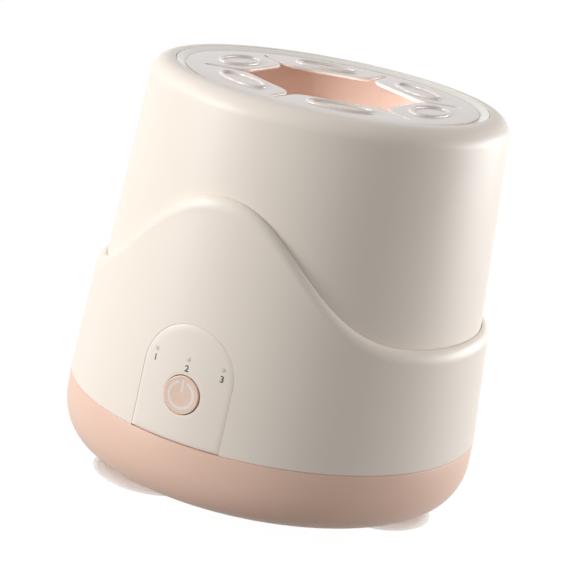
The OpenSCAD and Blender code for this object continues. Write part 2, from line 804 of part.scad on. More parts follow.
module battery_tray() {
    slot_w = 14;
    slot_lift = 3;
    slot_z = floor_z + tray_floor + slot_lift;
    head_gap = 0.8;
    tray_h = tray_floor + cell_d * 0.55;
    color(dark_plastic) difference() {
        translate([cell_at_x - tray_half_w, -tray_half_l, floor_z])
            cube([2 * tray_half_w, 2 * tray_half_l, tray_h]);
        translate([cell_at_x, cell_l / 2 + cell_end_gap, cell_z]) rotate([90, 0, 0])
            cylinder(d = cell_d + 2 * fit_gap, h = cell_l + 2 * cell_end_gap);
        translate([cell_at_x - cell_d / 2 - fit_gap, -cell_l / 2 - cell_end_gap, cell_z])
            cube([cell_d + 2 * fit_gap, cell_l + 2 * cell_end_gap, cell_d]);
        for (y = [-1, 1])
            translate([cell_at_x - tray_half_w - cut, y * cell_l / 4 - slot_w / 2, slot_z])
                cube([2 * tray_half_w + 2 * cut, slot_w, tray_h]);
        for (a = foot_angles)
            at_angle(a, foot_pitch_r) translate([0, 0, floor_z - cut])
                cylinder(r = foot_head_r + head_gap, h = foot_head_t + cut + cell_end_gap);
    }
}

module battery_cell() {
    nub_l = 1.2;
    nub_r = cell_d / 6;
    edge = 0.6;
    r = cell_d / 2;
    low = -cell_l / 2;
    top = cell_l / 2 - nub_l;
    color(wrap_blue) translate([cell_at_x, 0, cell_z]) rotate([90, 0, 0]) rotate_extrude()
        polygon([[0, low], [r - edge, low], [r, low + edge], [r, top - edge], [r - edge, top],
                 [nub_r, top], [nub_r, top + nub_l], [0, top + nub_l]]);
}

module main_board() {
    // Each chip: place across, place from the rear edge, width, length, height
    chips = [[-6, 10, 5, 5, 0.9], [5, 9, 4, 3, 1.2], [-7, 16, 6, 4, 1.6], [6, 15, 3, 3, 1]];
    color(board_green) translate([0, main_board_end, main_board_z]) difference() {
        union() {
            translate([-main_board_w / 2, -main_board_l, 0]) cube([main_board_w, main_board_l, board_t]);
            for (c = chips)
                translate([c[0] - c[2] / 2, -c[1] - c[3] / 2, -c[4]]) cube([c[2], c[3], c[4]]);
        }
        for (x = [-board_hole_x, board_hole_x])
            translate([x, board_hole_in - main_board_l, -cut])
                cylinder(r = small_hole_r, h = board_t + 2 * cut);
    }
}

module charge_socket() {
    shell_t = 0.3;
    back_t = 1;
    tongue_t = 0.7;
    tongue_in = 0.8;
    tongue_w = socket_w - 2.8;
    color(steel) translate([0, socket_face, socket_z]) rotate([90, 0, 0]) {
        linear_extrude(socket_l) difference() {
            slot_outline(socket_w, socket_h);
            slot_outline(socket_w - 2 * shell_t, socket_h - 2 * shell_t);
        }
        translate([0, 0, socket_l - back_t]) linear_extrude(back_t)
            slot_outline(socket_w - shell_t, socket_h - shell_t);
        translate([-tongue_w / 2, -tongue_t / 2, tongue_in])
            cube([tongue_w, tongue_t, socket_l - tongue_in - back_t / 2]);
    }
}

module board_screws() {
    board_screw_l = 5;
    color(steel)
        for (x = [-board_hole_x, board_hole_x])
            translate([x, board_hole_y, main_board_z])
                mirror([0, 0, 1]) screw(small_screw_d, board_screw_l);
}

module switch_board() {
    color(board_green) on_panel() difference() {
        translate([-switch_board_w / 2, -switch_board_low, -board_in - board_t])
            cube([switch_board_w, switch_board_low + switch_board_high, board_t]);
        for (x = [-post_x, post_x])
            translate([x, 0, -board_in - board_t - cut]) cylinder(r = small_hole_r, h = board_t + 2 * cut);
    }
}

module tact_switch() {
    spare = 0.3;
    color(dark_plastic) on_panel() difference() {
        translate([-switch_side / 2, -switch_side / 2, -board_in])
            cube([switch_side, switch_side, switch_tall]);
        translate([0, 0, -switch_in - plunger_hidden - button_travel - spare])
            cylinder(d = plunger_d + 2 * shaft_gap, h = switch_tall);
    }
}

module indicator_leds() {
    led_w = 2;
    led_l = 1.4;
    color(led_yellow)
        for (x = [-lamp_pitch, 0, lamp_pitch])
            on_panel() translate([x - led_w / 2, lamp_rise - led_l / 2, -board_in])
                cube([led_w, led_l, led_t]);
}

module light_guides() {
    led_gap = 0.1;
    collar_w = 0.45;
    collar_end = 2.1;
    color(guide_clear)
        for (x = [-lamp_pitch, 0, lamp_pitch])
            intersection() {
                on_panel() translate([x, lamp_rise, -board_in + led_t + led_gap]) {
                    cylinder(d = lamp_d, h = board_in + cut);
                    cylinder(d = lamp_d + 2 * collar_w, h = board_in - led_t - panel_t - collar_end);
                }
                rotate_extrude() polygon([[0, seam_h], [lower_r(seam_h), seam_h],
                                          [lower_r(lip_h), lip_h], [0, lip_h]]);
            }
}

module panel_screws() {
    panel_screw_l = 6.5;
    color(steel)
        for (x = [-post_x, post_x])
            on_panel() translate([x, 0, -board_in - board_t])
                mirror([0, 0, 1]) screw(small_screw_d, panel_screw_l);
}

// Shell of the turning head: wall, rounded shoulder, and a rim with a ledge for the cup
module upper_shell() {
    c = [ridge_r, shoulder_z];
    in_r = shoulder_r - head_wall;
    rim_out_r = rim_r + rim_t;
    in_end = acos((rim_out_r - ridge_r) / in_r);
    groove_half = snap_half + 0.05;
    boss_z = ear_z + ear_t;
    rib_reach = head_r(boss_z + boss_l) - head_wall / 2;
    color(cream) difference() {
        union() {
            rotate_extrude() polygon(concat(
                [[head_r(shell_z), shell_z]],
                arc(c, shoulder_r, shoulder_r, head_draft, 90, 16),
                [[rim_r, overall_h], [rim_r, snap_z + groove_half], [rim_r + snap_depth, snap_z],
                 [rim_r, snap_z - groove_half], [rim_r, flange_z], [ledge_r, flange_z],
                 [ledge_r, ledge_z], [rim_out_r, ledge_z]],
                arc(c, in_r, in_r, in_end, head_draft, 10),
                [[head_r(shell_z) - head_wall, shell_z]]));
            for (a = ear_angles)
                rotate([0, 0, a]) {
                    translate([0, -ear_r, boss_z]) cylinder(r = boss_r, h = boss_l);
                    translate([-rib_t / 2, -rib_reach, boss_z]) cube([rib_t, rib_reach - ear_r, boss_l]);
                }
        }
        for (a = ear_angles)
            at_angle(a, ear_r) translate([0, 0, boss_z - cut])
                cylinder(r = pilot_r, h = boss_l - boss_end + cut);
    }
}

module bottle_cup() {
    fillet_out = cup_fillet + 1;
    floor_r = cup_in_r(cup_floor_z);
    low_r = cup_out_r(cup_z);
    gusset_h = 16;
    gusset_r = ear_r - boss_r - 1;
    color(pink) difference() {
        union() {
            rotate_extrude() polygon(concat(
                [[0, cup_z]],
                arc([low_r - fillet_out, cup_z + fillet_out], fillet_out, fillet_out, -90, 0, 8),
                [[cup_out_r(flange_z), flange_z], [flange_r, flange_z], [flange_r, disc_z],
                 [cup_in_r(disc_z), disc_z]],
                arc([floor_r - cup_fillet, cup_floor_z + cup_fillet], cup_fillet, cup_fillet, 0, -90, 8),
                [[0, cup_floor_z]]));
            for (a = cup_screw_angles)
                at_angle(a, cup_screw_r) translate([0, 0, turn_top])
                    cylinder(r = boss_r, h = cup_boss_h + bite);
            for (a = ear_angles)
                rotate([0, 0, a]) difference() {
                    union() {
                        translate([0, -ear_r, ear_z]) cylinder(r = boss_r, h = ear_t);
                        translate([-boss_r, -ear_r, ear_z]) cube([2 * boss_r, ear_r, ear_t]);
                        translate([rib_t / 2, 0, ear_z + ear_t]) rotate([90, 0, -90]) linear_extrude(rib_t)
                            polygon([[low_r - bite, -bite], [gusset_r, -bite], [gusset_r, bite],
                                     [low_r - bite, gusset_h]]);
                    }
                    cylinder(r = low_r - bite, h = overall_h);
                }
        }
        for (a = ear_angles)
            at_angle(a, ear_r) translate([0, 0, ear_z - cut]) cylinder(r = hole_r, h = ear_t + 2 * cut);
        for (a = cup_screw_angles)
            at_angle(a, cup_screw_r) translate([0, 0, turn_top - cut])
                cylinder(r = pilot_r, h = cup_boss_h + cup_floor / 2 + cut);
    }
}

module cup_pad() {
    pad_r = cup_in_r(cup_floor_z) - cup_fillet - fit_gap;
    groove_w = 1.2;
    groove_pitch = 8;
    groove_t = 0.4;
    color(silicone_grey) translate([0, 0, cup_floor_z]) difference() {
        cylinder(r = pad_r, h = pad_t);
        for (r = [groove_pitch:groove_pitch:pad_r - groove_pitch / 2])
            translate([0, 0, pad_t - groove_t]) tube(r + groove_w, r, cut);
    }
}

// Ring that snaps into the rim and holds the silicone down
module clamp_ring() {
    leg_r = ring_out_r - ring_leg_t;
    top = overall_h - 0.1;
    in_top = (margin_top + disc_top) / 2;
    edge = 0.25;
    color(cream) rotate_extrude()
        polygon([[ring_in_r, margin_top], [ring_in_r, in_top], [ring_out_r - edge, top],
                 [ring_out_r, top - edge], [ring_out_r, snap_z + snap_half],
                 [ring_out_r + snap_depth, snap_z], [ring_out_r, snap_z - snap_half],
                 [ring_out_r, flange_z], [leg_r, flange_z], [leg_r, margin_top]]);
}

// Outline of the petal that lies at the front: its tip, its sides along the slits and its root
function petal_outline() =
    let (mouth = mouth_w / 2, half = slit_w / 2,
         tip_at = (mouth + half * slit_across[1]) / cos(petal_half),
         tip = tip_at * slit_along + half * slit_across,
         side = (slit_end_r - 1) * slit_along + half * slit_across,
         root = [hinge_l / 2, -hinge_r],
         r = petal_corner_r)
    rounded([root, side, tip, [-tip[0], tip[1]], [-side[0], side[1]], [-root[0], root[1]]],
            [0, side_corner_r, r, r, side_corner_r, 0]);

// Space that the front petal and the slits beside it take from the ring
function petal_pocket() =
    let (root = [hinge_l / 2 + moving_gap, -hinge_r - bead_r - moving_gap],
         end = slit_end_r * slit_along - slit_w / 2 * slit_across)
    [root, end, [0, 0], [-end[0], end[1]], [-root[0], root[1]]];

module grip_ring() {
    step_r = ring_in_r - fit_gap;
    in_r = hinge_r * cos(petal_half);
    color(silicone_grey) difference() {
        rotate_extrude() polygon([[in_r, disc_z], [flange_r, disc_z], [flange_r, margin_top],
                                  [step_r, margin_top], [step_r, disc_top], [in_r, disc_top]]);
        translate([0, 0, disc_z - cut]) linear_extrude(disc_t + 2 * cut)
            for (a = petal_angles)
                rotate(a) {
                    polygon(petal_pocket());
                    translate(slit_end_r * slit_along) circle(r = slit_w / 2);
                }
    }
}

// One petal: a flap on a round living hinge, with an oval bead
module petal(index) {
    oval_in = 0.6;
    mid = hinge_r - oval_in - oval_w / 2;
    bead_w = 1.3;
    sunk = 0.2;
    color(silicone_grey) rotate([0, 0, petal_angles[index]]) {
        translate([0, 0, disc_z]) linear_extrude(disc_t) polygon(petal_outline());
        translate([-hinge_l / 2, -hinge_r, hinge_z]) rotate([0, 90, 0]) cylinder(r = bead_r, h = hinge_l);
        translate([0, -mid, disc_top - sunk]) linear_extrude(oval_h + sunk) difference() {
            polygon(arc([0, 0], oval_l / 2, oval_w / 2, 0, 350, 35));
            polygon(arc([0, 0], oval_l / 2 - bead_w, oval_w / 2 - bead_w, 0, 350, 35));
        }
    }
}

module petal_1() {
    petal(0);
}

module petal_2() {
    petal(1);
}

module petal_3() {
    petal(2);
}

module petal_4() {
    petal(3);
}

module petal_5() {
    petal(4);
}

module petal_6() {
    petal(5);
}

// Plate that carries the cup on the spindle
module turntable() {
    plate_r = cup_out_r(cup_z) - 4;
    window_r = 6;
    window_at = plate_r * 0.55;
    color(dark_plastic) translate([0, 0, turn_z]) difference() {
        cylinder(r = plate_r, h = turn_t);
        translate([0, 0, -cut]) linear_extrude(turn_t + 2 * cut) d_outline(spindle_r + seat_gap);
        for (a = cup_screw_angles)
            at_angle(a, cup_screw_r) {
                translate([0, 0, -cut]) cylinder(r = hole_r, h = turn_t + 2 * cut);
                cylinder(r1 = head_w / 2 + fit_gap, r2 = hole_r, h = sink_h);
            }
        for (a = [0, 90, 180, 270])
            at_angle(a, window_at) translate([0, 0, -cut]) cylinder(r = window_r, h = turn_t + 2 * cut);
    }
}

module spindle() {
    hole_l = 10;
    color(steel) difference() {
        translate([0, 0, spindle_z]) cylinder(r = spindle_r, h = spindle_top - spindle_z);
        translate([-spindle_r, spindle_r - flat_depth, hub_z]) cube([2 * spindle_r, spindle_r, overall_h]);
        translate([0, 0, spindle_clip_z]) tube(spindle_d, spindle_r - groove_depth, clip_t);
        translate([0, 0, spindle_top - hole_l]) cylinder(d = hub_screw_d + 2 * shaft_gap, h = hole_l + cut);
    }
}

module spindle_gear() {
    web_t = gear2_h * 0.55;
    rim_in_r = module_2 * (spindle_teeth / 2 - tooth_root - gear_rim);
    window_r = (rim_in_r - hub_r) / 2 - 1.2;
    window_at = (rim_in_r + hub_r) / 2;
    color(acetal) difference() {
        union() {
            translate([0, 0, gear2_z]) rotate([0, 0, 90]) linear_extrude(gear2_h)
                gear_outline(module_2, spindle_teeth);
            translate([0, 0, hub_z]) cylinder(r = hub_r, h = turn_z - hub_z);
        }
        translate([0, 0, gear2_z + web_t]) tube(rim_in_r, hub_r, gear2_h);
        for (a = [0:60:300])
            at_angle(a, window_at) translate([0, 0, gear2_z - cut])
                cylinder(r = window_r, h = gear2_h + 2 * cut);
        translate([0, 0, hub_z - cut]) linear_extrude(turn_z - hub_z + 2 * cut)
            d_outline(spindle_r + seat_gap);
    }
}

module spindle_clip() {
    color(steel) translate([0, 0, spindle_clip_z + seat_gap])
        clip(spindle_r - groove_depth + seat_gap, spindle_r + clip_wall, clip_t - 2 * seat_gap);
}

module hub_screw() {
    hub_screw_l = 8;
    flange_t = 0.6;
    color(steel) translate([0, 0, turn_top]) {
        screw(hub_screw_d, hub_screw_l);
        tube(spindle_r + 1.5, hub_screw_d / 2, flange_t);
    }
}

module cup_screws() {
    color(steel)
        for (a = cup_screw_angles)
            at_angle(a, cup_screw_r) translate([0, 0, turn_z])
                mirror([0, 0, 1]) flat_screw(shank_d, turn_t + cup_boss_h);
}

module shell_screws() {
    color(steel)
        for (a = ear_angles)
            at_angle(a, ear_r) translate([0, 0, ear_z])
                mirror([0, 0, 1]) screw(shank_d, ear_t + boss_l - 2 * boss_end);
}

module motor_shaft() {
    low = deck_z - 8;
    top = gear1_top + 0.8;
    color(steel) translate([motor_at[0], motor_at[1], low]) cylinder(d = shaft_d, h = top - low);
}

module motor_pinion() {
    spare = 0.4;
    color(bronze) translate([motor_at[0], motor_at[1], gear1_z - spare])
        rotate([0, 0, motor_turn + 180 + 180 / pinion_teeth])
            linear_extrude(gear1_h + 2 * spare) difference() {
                gear_outline(module_1, pinion_teeth);
                circle(d = shaft_d + 2 * seat_gap);
            }
}

// Large gear driven by the motor pinion and small gear that drives the spindle gear, in one piece
module idler_gear() {
    rim_in_r = module_1 * (idler_teeth / 2 - tooth_root - gear_rim);
    small_r = module_2 * (idler_pinion_teeth / 2 + 2);
    color(acetal) translate([idler_at[0], idler_at[1], 0]) difference() {
        union() {
            translate([0, 0, gear1_z]) rotate([0, 0, motor_turn]) linear_extrude(gear1_h)
                gear_outline(module_1, idler_teeth);
            translate([0, 0, gear1_z]) rotate([0, 0, -90 + 180 / idler_pinion_teeth])
                linear_extrude(idler_top - gear1_z) gear_outline(module_2, idler_pinion_teeth);
        }
        translate([0, 0, gear1_z + gear1_h * 0.6]) tube(rim_in_r, small_r, gear1_h);
        translate([0, 0, gear1_z - cut]) cylinder(d = pin_d + 2 * shaft_gap, h = idler_top);
    }
}

module power_button() {
    r = button_d / 2;
    collar_r = r + 1.2;
    collar_z = -flange_in - 1;
    stem_r = plunger_d / 2;
    dish = 0.3;
    edge = 0.5;
    color(pink) on_panel() rotate_extrude()
        polygon(concat([[0, button_proud - dish], [r * 0.7, button_proud - dish / 2]],
                       arc([r - edge, button_proud - edge], edge, edge, 90, 0, 5),
                       [[r, -flange_in], [collar_r, -flange_in], [collar_r, collar_z],
                        [stem_r, collar_z], [stem_r, -stem_in], [0, -stem_in]]));
}

module switch_plunger() {
    color(dark_plastic) on_panel() translate([0, 0, -switch_in - plunger_hidden])
        cylinder(d = plunger_d, h = switch_in + plunger_hidden - stem_in);
}

base_pan();
lower_shell();
control_panel();
suction_feet();
base_screws();
chassis();
chassis_screws();
motor_can();
motor_screws();
upper_bush();
lower_bush();
thrust_washer();
idler_pin();
idler_clip();
battery_tray();
battery_cell();
main_board();
charge_socket();
board_screws();
switch_board();
tact_switch();
indicator_leds();
light_guides();
panel_screws();
upper_shell();
bottle_cup();
cup_pad();
clamp_ring();
grip_ring();
turntable();
spindle();
spindle_gear();
spindle_clip();
hub_screw();
cup_screws();
shell_screws();
motor_shaft();
motor_pinion();
idler_gear();
power_button();
switch_plunger();
petal_1();
petal_2();
petal_3();
petal_4();
petal_5();
petal_6();
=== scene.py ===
"""Looks of an automatic shaker for a feeding bottle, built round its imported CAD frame.

Sizes are in millimetres until a mesh is made, and in metres from then on. The frame is that of
the CAD model: the origin is on the table under the spindle, +Z is up and the front, with the
button, faces -Y.
"""
import json
import logging
import math
from dataclasses import dataclass, field
from enum import Enum
from functools import partial
from typing import Any, Sequence

import bmesh
import bpy
from mathutils import Matrix, Vector


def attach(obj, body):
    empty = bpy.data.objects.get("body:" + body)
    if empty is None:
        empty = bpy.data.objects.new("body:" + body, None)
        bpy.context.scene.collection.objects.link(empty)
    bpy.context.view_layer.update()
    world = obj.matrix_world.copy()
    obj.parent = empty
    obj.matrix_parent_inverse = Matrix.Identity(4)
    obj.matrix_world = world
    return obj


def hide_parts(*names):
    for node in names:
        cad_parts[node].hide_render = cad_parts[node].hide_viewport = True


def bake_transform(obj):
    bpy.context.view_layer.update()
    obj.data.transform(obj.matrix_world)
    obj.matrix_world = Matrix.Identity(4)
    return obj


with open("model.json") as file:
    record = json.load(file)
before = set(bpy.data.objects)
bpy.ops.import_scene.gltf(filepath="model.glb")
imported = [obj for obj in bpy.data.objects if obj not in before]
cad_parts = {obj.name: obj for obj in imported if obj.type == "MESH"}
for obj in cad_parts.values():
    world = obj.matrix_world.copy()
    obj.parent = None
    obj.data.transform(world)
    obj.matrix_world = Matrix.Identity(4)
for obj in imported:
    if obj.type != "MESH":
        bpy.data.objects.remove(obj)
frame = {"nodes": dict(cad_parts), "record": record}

LOG = logging.getLogger("bottle_shaker")
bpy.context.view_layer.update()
MM = 0.001
SHARP_ANGLE = math.radians(32)

Point = tuple[float, float]
Triple = tuple[float, float, float]
Profile = list[Point]
Mesh = bpy.types.Mesh
Socket = bpy.types.NodeSocket
Thing = bpy.types.Object
Tree = bpy.types.NodeTree


class Body(str, Enum):
    """Bodies of the CAD frame that pieces ride on."""

    BASE = "base"
    HEAD = "head"
    BUTTON = "button"


class Slot(str, Enum):
    """Material slots of the record."""

    CREAM = "cream_abs"
    PINK = "pink_abs"
    GREY_SILICONE = "grey_silicone"
    CLEAR_SILICONE = "clear_silicone"
    STEEL = "steel"
    BRONZE = "bronze"
    ACETAL = "acetal"
    NYLON = "black_nylon"
    BOARD = "board_laminate"
    WRAP = "cell_wrap"
    LAMP = "lamp_chip"
    ACRYLIC = "clear_acrylic"


# Node tools


def linear(code: str) -> tuple[float, float, float, float]:
    """Turns an sRGB hex colour into the linear values that a shader takes.

    Args:
        code: Six hex digits.

    Returns:
        Red, green, blue and full opacity.
    """
    parts = [int(code[i:i + 2], 16) / 255 for i in (0, 2, 4)]
    red, green, blue = [c / 12.92 if c <= 0.04045 else ((c + 0.055) / 1.055) ** 2.4 for c in parts]
    return red, green, blue, 1.0


def empty_tree(owner: bpy.types.Material | bpy.types.World) -> Tree:
    """Clears the nodes that a material or a world starts with.

    Args:
        owner: The material or world.

    Returns:
        Its tree.
    """
    owner.use_nodes = True
    owner.node_tree.nodes.clear()
    return owner.node_tree


def add(tree: Tree, kind: str, inputs: dict[Any, Any] | None = None,
        **settings: Any) -> bpy.types.Node:
    """Adds a node with its settings and its inputs.

    Args:
        tree: Tree of a material, a world or a modifier.
        kind: Type name of the node.
        inputs: For each input, by name or number, a value or an output to link from.
        **settings: Properties of the node.

    Returns:
        The new node.
    """
    made = tree.nodes.new(kind)
    for name, value in settings.items():
        setattr(made, name, value)
    for key, value in (inputs or {}).items():
        if isinstance(value, Socket):
            tree.links.new(value, made.inputs[key])
        else:
            made.inputs[key].default_value = value
    return made


def mix_colours(tree: Tree, share: Socket, first: Any, second: Any) -> Socket:
    """Mixes two colours, values or outputs, by the second one's share."""
    # Inputs 6 and 7 and output 2 are the node's sockets for colours.
    return add(tree, "ShaderNodeMix", {"Factor": share, 6: first, 7: second},
               data_type="RGBA").outputs[2]


def seen_directly(tree: Tree) -> Socket:
    """Tells rays that the eye follows, also through glass or by a mirror, from those of light.

    Args:
        tree: Tree of a material or a world.

    Returns:
        An output that is 1 for such a ray and 0 for others.
    """
    path = add(tree, "ShaderNodeLightPath").outputs
    seen = path["Is Camera Ray"]
    for kind in ("Is Transmission Ray", "Is Glossy Ray"):
        seen = add(tree, "ShaderNodeMath", {0: seen, 1: path[kind]}, operation="MAXIMUM").outputs[0]
    return seen


def per_metre(size: float) -> float:
    """Texture scale whose features are about size millimetres wide."""
    return 1 / (size * MM)


# Finishes


@dataclass(frozen=True)
class Finish:
    """A surface: its colours, its gloss and the relief that its making leaves.

    Each finish mixes two near colours in soft clouds, varies its roughness in the same way and
    has a fine relief, all on Object coordinates.
    """

    name: str
    colour: str
    second: str
    cloud: float
    rough: Point
    relief: float
    grain: float = 0.5
    ior: float = 1.5
    stretch: Triple = (1.0, 1.0, 1.0)
    specular: float = 0.5
    bump_strength: float = 0.35
    cloud_range: Point = (0.3, 0.7)
    constants: tuple[tuple[str, Any], ...] = ()

    def build(self) -> bpy.types.Material:
        """Makes the material, or finds it if it was made before.

        Returns:
            The material.
        """
        known = bpy.data.materials.get(self.name)
        if known:
            return known
        material = bpy.data.materials.new(self.name)
        tree = empty_tree(material)
        where = add(tree, "ShaderNodeTexCoord").outputs["Object"]
        place = add(tree, "ShaderNodeMapping", {"Vector": where, "Scale": self.stretch}).outputs[0]
        colour, roughness = self.pattern(tree, place)
        shader = add(tree, "ShaderNodeBsdfPrincipled", {
            "Base Color": colour, "Roughness": roughness, "IOR": self.ior,
            "Specular IOR Level": self.specular, "Normal": self.bump(tree, place),
            **dict(self.constants)})
        add(tree, "ShaderNodeOutputMaterial", {"Surface": shader.outputs[0]})
        return material

    def pattern(self, tree: Tree, place: Socket) -> tuple[Socket, Socket]:
        """Adds the clouds of colour and roughness.

        Args:
            tree: The material's tree.
            place: Coordinates.

        Returns:
            The colour's and the roughness's outputs.
        """
        cloud = add(tree, "ShaderNodeTexNoise", {
            "Vector": place, "Scale": per_metre(self.cloud), "Detail": 3.0,
            "Roughness": 0.55}).outputs["Fac"]
        gloss = add(tree, "ShaderNodeMapRange", {
            "Value": cloud, "From Min": self.cloud_range[0], "From Max": self.cloud_range[1],
            "To Min": self.rough[0], "To Max": self.rough[1]})
        colour = mix_colours(tree, cloud, linear(self.colour), linear(self.second))
        return colour, gloss.outputs[0]

    def bump(self, tree: Tree, place: Socket) -> Socket:
        """Adds the fine relief.

        Args:
            tree: The material's tree.
            place: Coordinates.

        Returns:
            The normal's output.
        """
        grain = add(tree, "ShaderNodeTexNoise", {
            "Vector": place, "Scale": per_metre(self.grain), "Detail": 2.0})
        return add(tree, "ShaderNodeBump", {
            "Height": grain.outputs["Fac"], "Strength": self.bump_strength,
            "Distance": self.relief * MM}).outputs[0]


@dataclass(frozen=True)
class PorousBronze(Finish):
    """Sintered bronze: small dark pores between pressed grains."""

    pore: float = 0.35
    pore_colour: str = "3a2a18"

    def pattern(self, tree: Tree, place: Socket) -> tuple[Socket, Socket]:
        """Adds pores to the clouds. See Finish.pattern."""
        colour, roughness = super().pattern(tree, place)
        cells = add(tree, "ShaderNodeTexVoronoi", {
            "Vector": place, "Scale": per_metre(self.pore)})
        pores = add(tree, "ShaderNodeMapRange", {
            "Value": cells.outputs["Distance"], "From Min": 0.1, "From Max": 0.3,
            "To Min": 0.55, "To Max": 0.0})
        return mix_colours(tree, pores.outputs[0], colour, linear(self.pore_colour)), roughness


@dataclass(frozen=True)
class BoardLaminate(Finish):
    """Glass-cloth laminate under green solder mask, with lighter tracks of copper."""

    track: float = 2.2
    track_colour: str = "3f9a5c"

    def pattern(self, tree: Tree, place: Socket) -> tuple[Socket, Socket]:
        """Adds tracks to the clouds. See Finish.pattern."""
        colour, roughness = super().pattern(tree, place)
        bands = add(tree, "ShaderNodeTexBrick", {
            "Vector": place, "Scale": per_metre(self.track), "Mortar Size": 0.07,
            "Mortar Smooth": 0.2}, offset=0.3)
        track = linear(self.track_colour)
        return mix_colours(tree, bands.outputs["Fac"], colour, track), roughness


# Moulded ABS with a fine spark-eroded grain: a soft, broad highlight and hardly any mottling
CREAM_ABS = Finish("moulded_cream_abs", "f3e8dc", "f6ece1", cloud=38, rough=(0.40, 0.47),
                   relief=0.005, grain=0.45, ior=1.53)
# ABS from a polished mould, painted nearly white and lighter than the cream shells: a painted
# highlight for the bright crescents on the clamp ring. Its low roughness mirrors the room at low
# angles
POLISHED_ABS_PAINTED_LIGHTER = Finish("polished_abs_painted_lighter", "fcf6ec", "fdf9f2", cloud=20, rough=(0.10, 0.14),
                            relief=0.002, grain=0.6, ior=1.53)
PINK_ABS = Finish("moulded_pink_abs", "eec9b5", "f1cdba", cloud=34, rough=(0.38, 0.45),
                  relief=0.005, grain=0.45, ior=1.53)
# Pink ABS of the cup, painted paler than the band: painted light, which makes the shaded inside of
# the cup look lit by white light
CUP_ABS_PAINTED_PALER = Finish("moulded_pink_abs_painted_paler", "f2d7c8", "f4dbcd", cloud=30, rough=(0.36, 0.43),
                 relief=0.004, grain=0.45, ior=1.53)
# Polished button face of the same ABS, a little glossier than the shells
BUTTON_ABS = Finish("polished_pink_abs", "efd0bd", "f1d4c3", cloud=9, rough=(0.30, 0.36),
                    relief=0.002, grain=0.3, ior=1.53)
# Liquid silicone rubber: smooth and glossy from a polished mould
GREY_SILICONE = Finish("moulded_grey_silicone", "ebdfd7", "efe5df", cloud=14, rough=(0.11, 0.16),
                       relief=0.004, grain=0.8, ior=1.41, specular=0.8)
# Clear suction silicone: milky, lets some light through
CLEAR_SILICONE = Finish("clear_suction_silicone", "f4e8df", "f8f0ea", cloud=10, rough=(0.28, 0.36),
                        relief=0.003, grain=0.8, ior=1.41,
                        constants=(("Transmission Weight", 0.7),))
# Cold-drawn steel: fine lines along its length, about five times too coarse so that they show
STEEL = Finish("drawn_steel", "a9abaf", "bcbec2", cloud=6, rough=(0.24, 0.38), relief=0.003,
               grain=0.6, stretch=(1, 1, 0.12), constants=(("Metallic", 1.0),))
SINTERED_BRONZE = PorousBronze("sintered_bronze", "a8824f", "b8935f", cloud=4, rough=(0.34, 0.48),
                               relief=0.01, grain=0.3, constants=(("Metallic", 1.0),))
# Moulded acetal: waxy white with a smooth sheen
ACETAL = Finish("moulded_acetal", "ecebe6", "f3f2ee", cloud=8, rough=(0.28, 0.36), relief=0.003,
                ior=1.48)
# Glass-filled nylon: dark and dry, with slightly paler flecks of fibre
NYLON = Finish("glass_filled_nylon", "25262a", "33353a", cloud=2.2, rough=(0.45, 0.62),
               relief=0.02, grain=0.35, ior=1.53, stretch=(1, 1, 0.4))
BOARD = BoardLaminate("masked_board_laminate", "1d5f3c", "22693f", cloud=3, rough=(0.26, 0.36),
                      relief=0.01, grain=0.6)
# Shrink wrap on a battery cell: thin glossy film with faint puckers
WRAP = Finish("shrink_wrap_film", "3d6f9c", "4577a4", cloud=12, rough=(0.18, 0.28), relief=0.05,
              grain=5)
LAMP = Finish("phosphor_lamp_chip", "e8d98f", "f2e7ae", cloud=0.8, rough=(0.3, 0.42),
              relief=0.006, grain=0.2)
# Moulded acrylic light pipe with a frosted end
ACRYLIC = Finish("frosted_acrylic", "e9e4dc", "efebe5", cloud=2, rough=(0.25, 0.33), relief=0.003,
                 grain=0.3, ior=1.49, constants=(("Transmission Weight", 0.3),))
# Pad-printed ink: thin, dry, slightly uneven
DARK_INK = Finish("pad_print_dark_ink", "2f2c2a", "3a3633", cloud=0.6, rough=(0.5, 0.62),
                  relief=0.003, grain=0.2)
PALE_INK = Finish("pad_print_pale_ink", "ece4e0", "f2ebe8", cloud=1.2, rough=(0.36, 0.46),
                  relief=0.002, grain=0.2)


# Mesh tools


def rounded(corners: Sequence[Triple], steps: int = 6) -> Profile:
    """Rounds the corners of a closed outline.

    Args:
        corners: For each corner its two coordinates and its radius.
        steps: Segments in each rounding.

    Returns:
        The outline's points.
    """
    points: Profile = []
    count = len(corners)
    for i, (x, y, radius) in enumerate(corners):
        here = Vector((x, y))
        if radius <= 0:
            points.append((x, y))
            continue
        before = (Vector(corners[i - 1][:2]) - here).normalized()
        after = (Vector(corners[(i + 1) % count][:2]) - here).normalized()
        half = math.acos(max(-1.0, min(1.0, before.dot(after)))) / 2
        middle = here + (before + after).normalized() * (radius / math.sin(half))
        start = here + before * (radius / math.tan(half)) - middle
        end = here + after * (radius / math.tan(half)) - middle
        first = math.atan2(start.y, start.x)
        turn = (math.atan2(end.y, end.x) - first + 3 * math.pi) % (2 * math.pi) - math.pi
        for k in range(steps + 1):
            angle = first + turn * k / steps
            points.append((middle.x + radius * math.cos(angle),
                           middle.y + radius * math.sin(angle)))
    return points


def arc(centre: Point, radius: Point, first: float, last: float, steps: int) -> Profile:
    """Points along an elliptic arc between two angles in degrees, ends included."""
    angles = [math.radians(first + (last - first) * i / steps) for i in range(steps + 1)]
    return [(centre[0] + radius[0] * math.cos(a), centre[1] + radius[1] * math.sin(a))
            for a in angles]


def linked(name: str, data: bpy.types.ID) -> Thing:
    """Makes an object of a mesh, a text, a lamp or a camera and links it to the scene."""
    bpy.context.scene.collection.objects.link(thing := bpy.data.objects.new(name, data))
    return thing


def smooth(data: Mesh) -> None:
    """Shades all but sharp edges smoothly."""
    data.shade_smooth()
    data.set_sharp_from_angle(angle=SHARP_ANGLE)


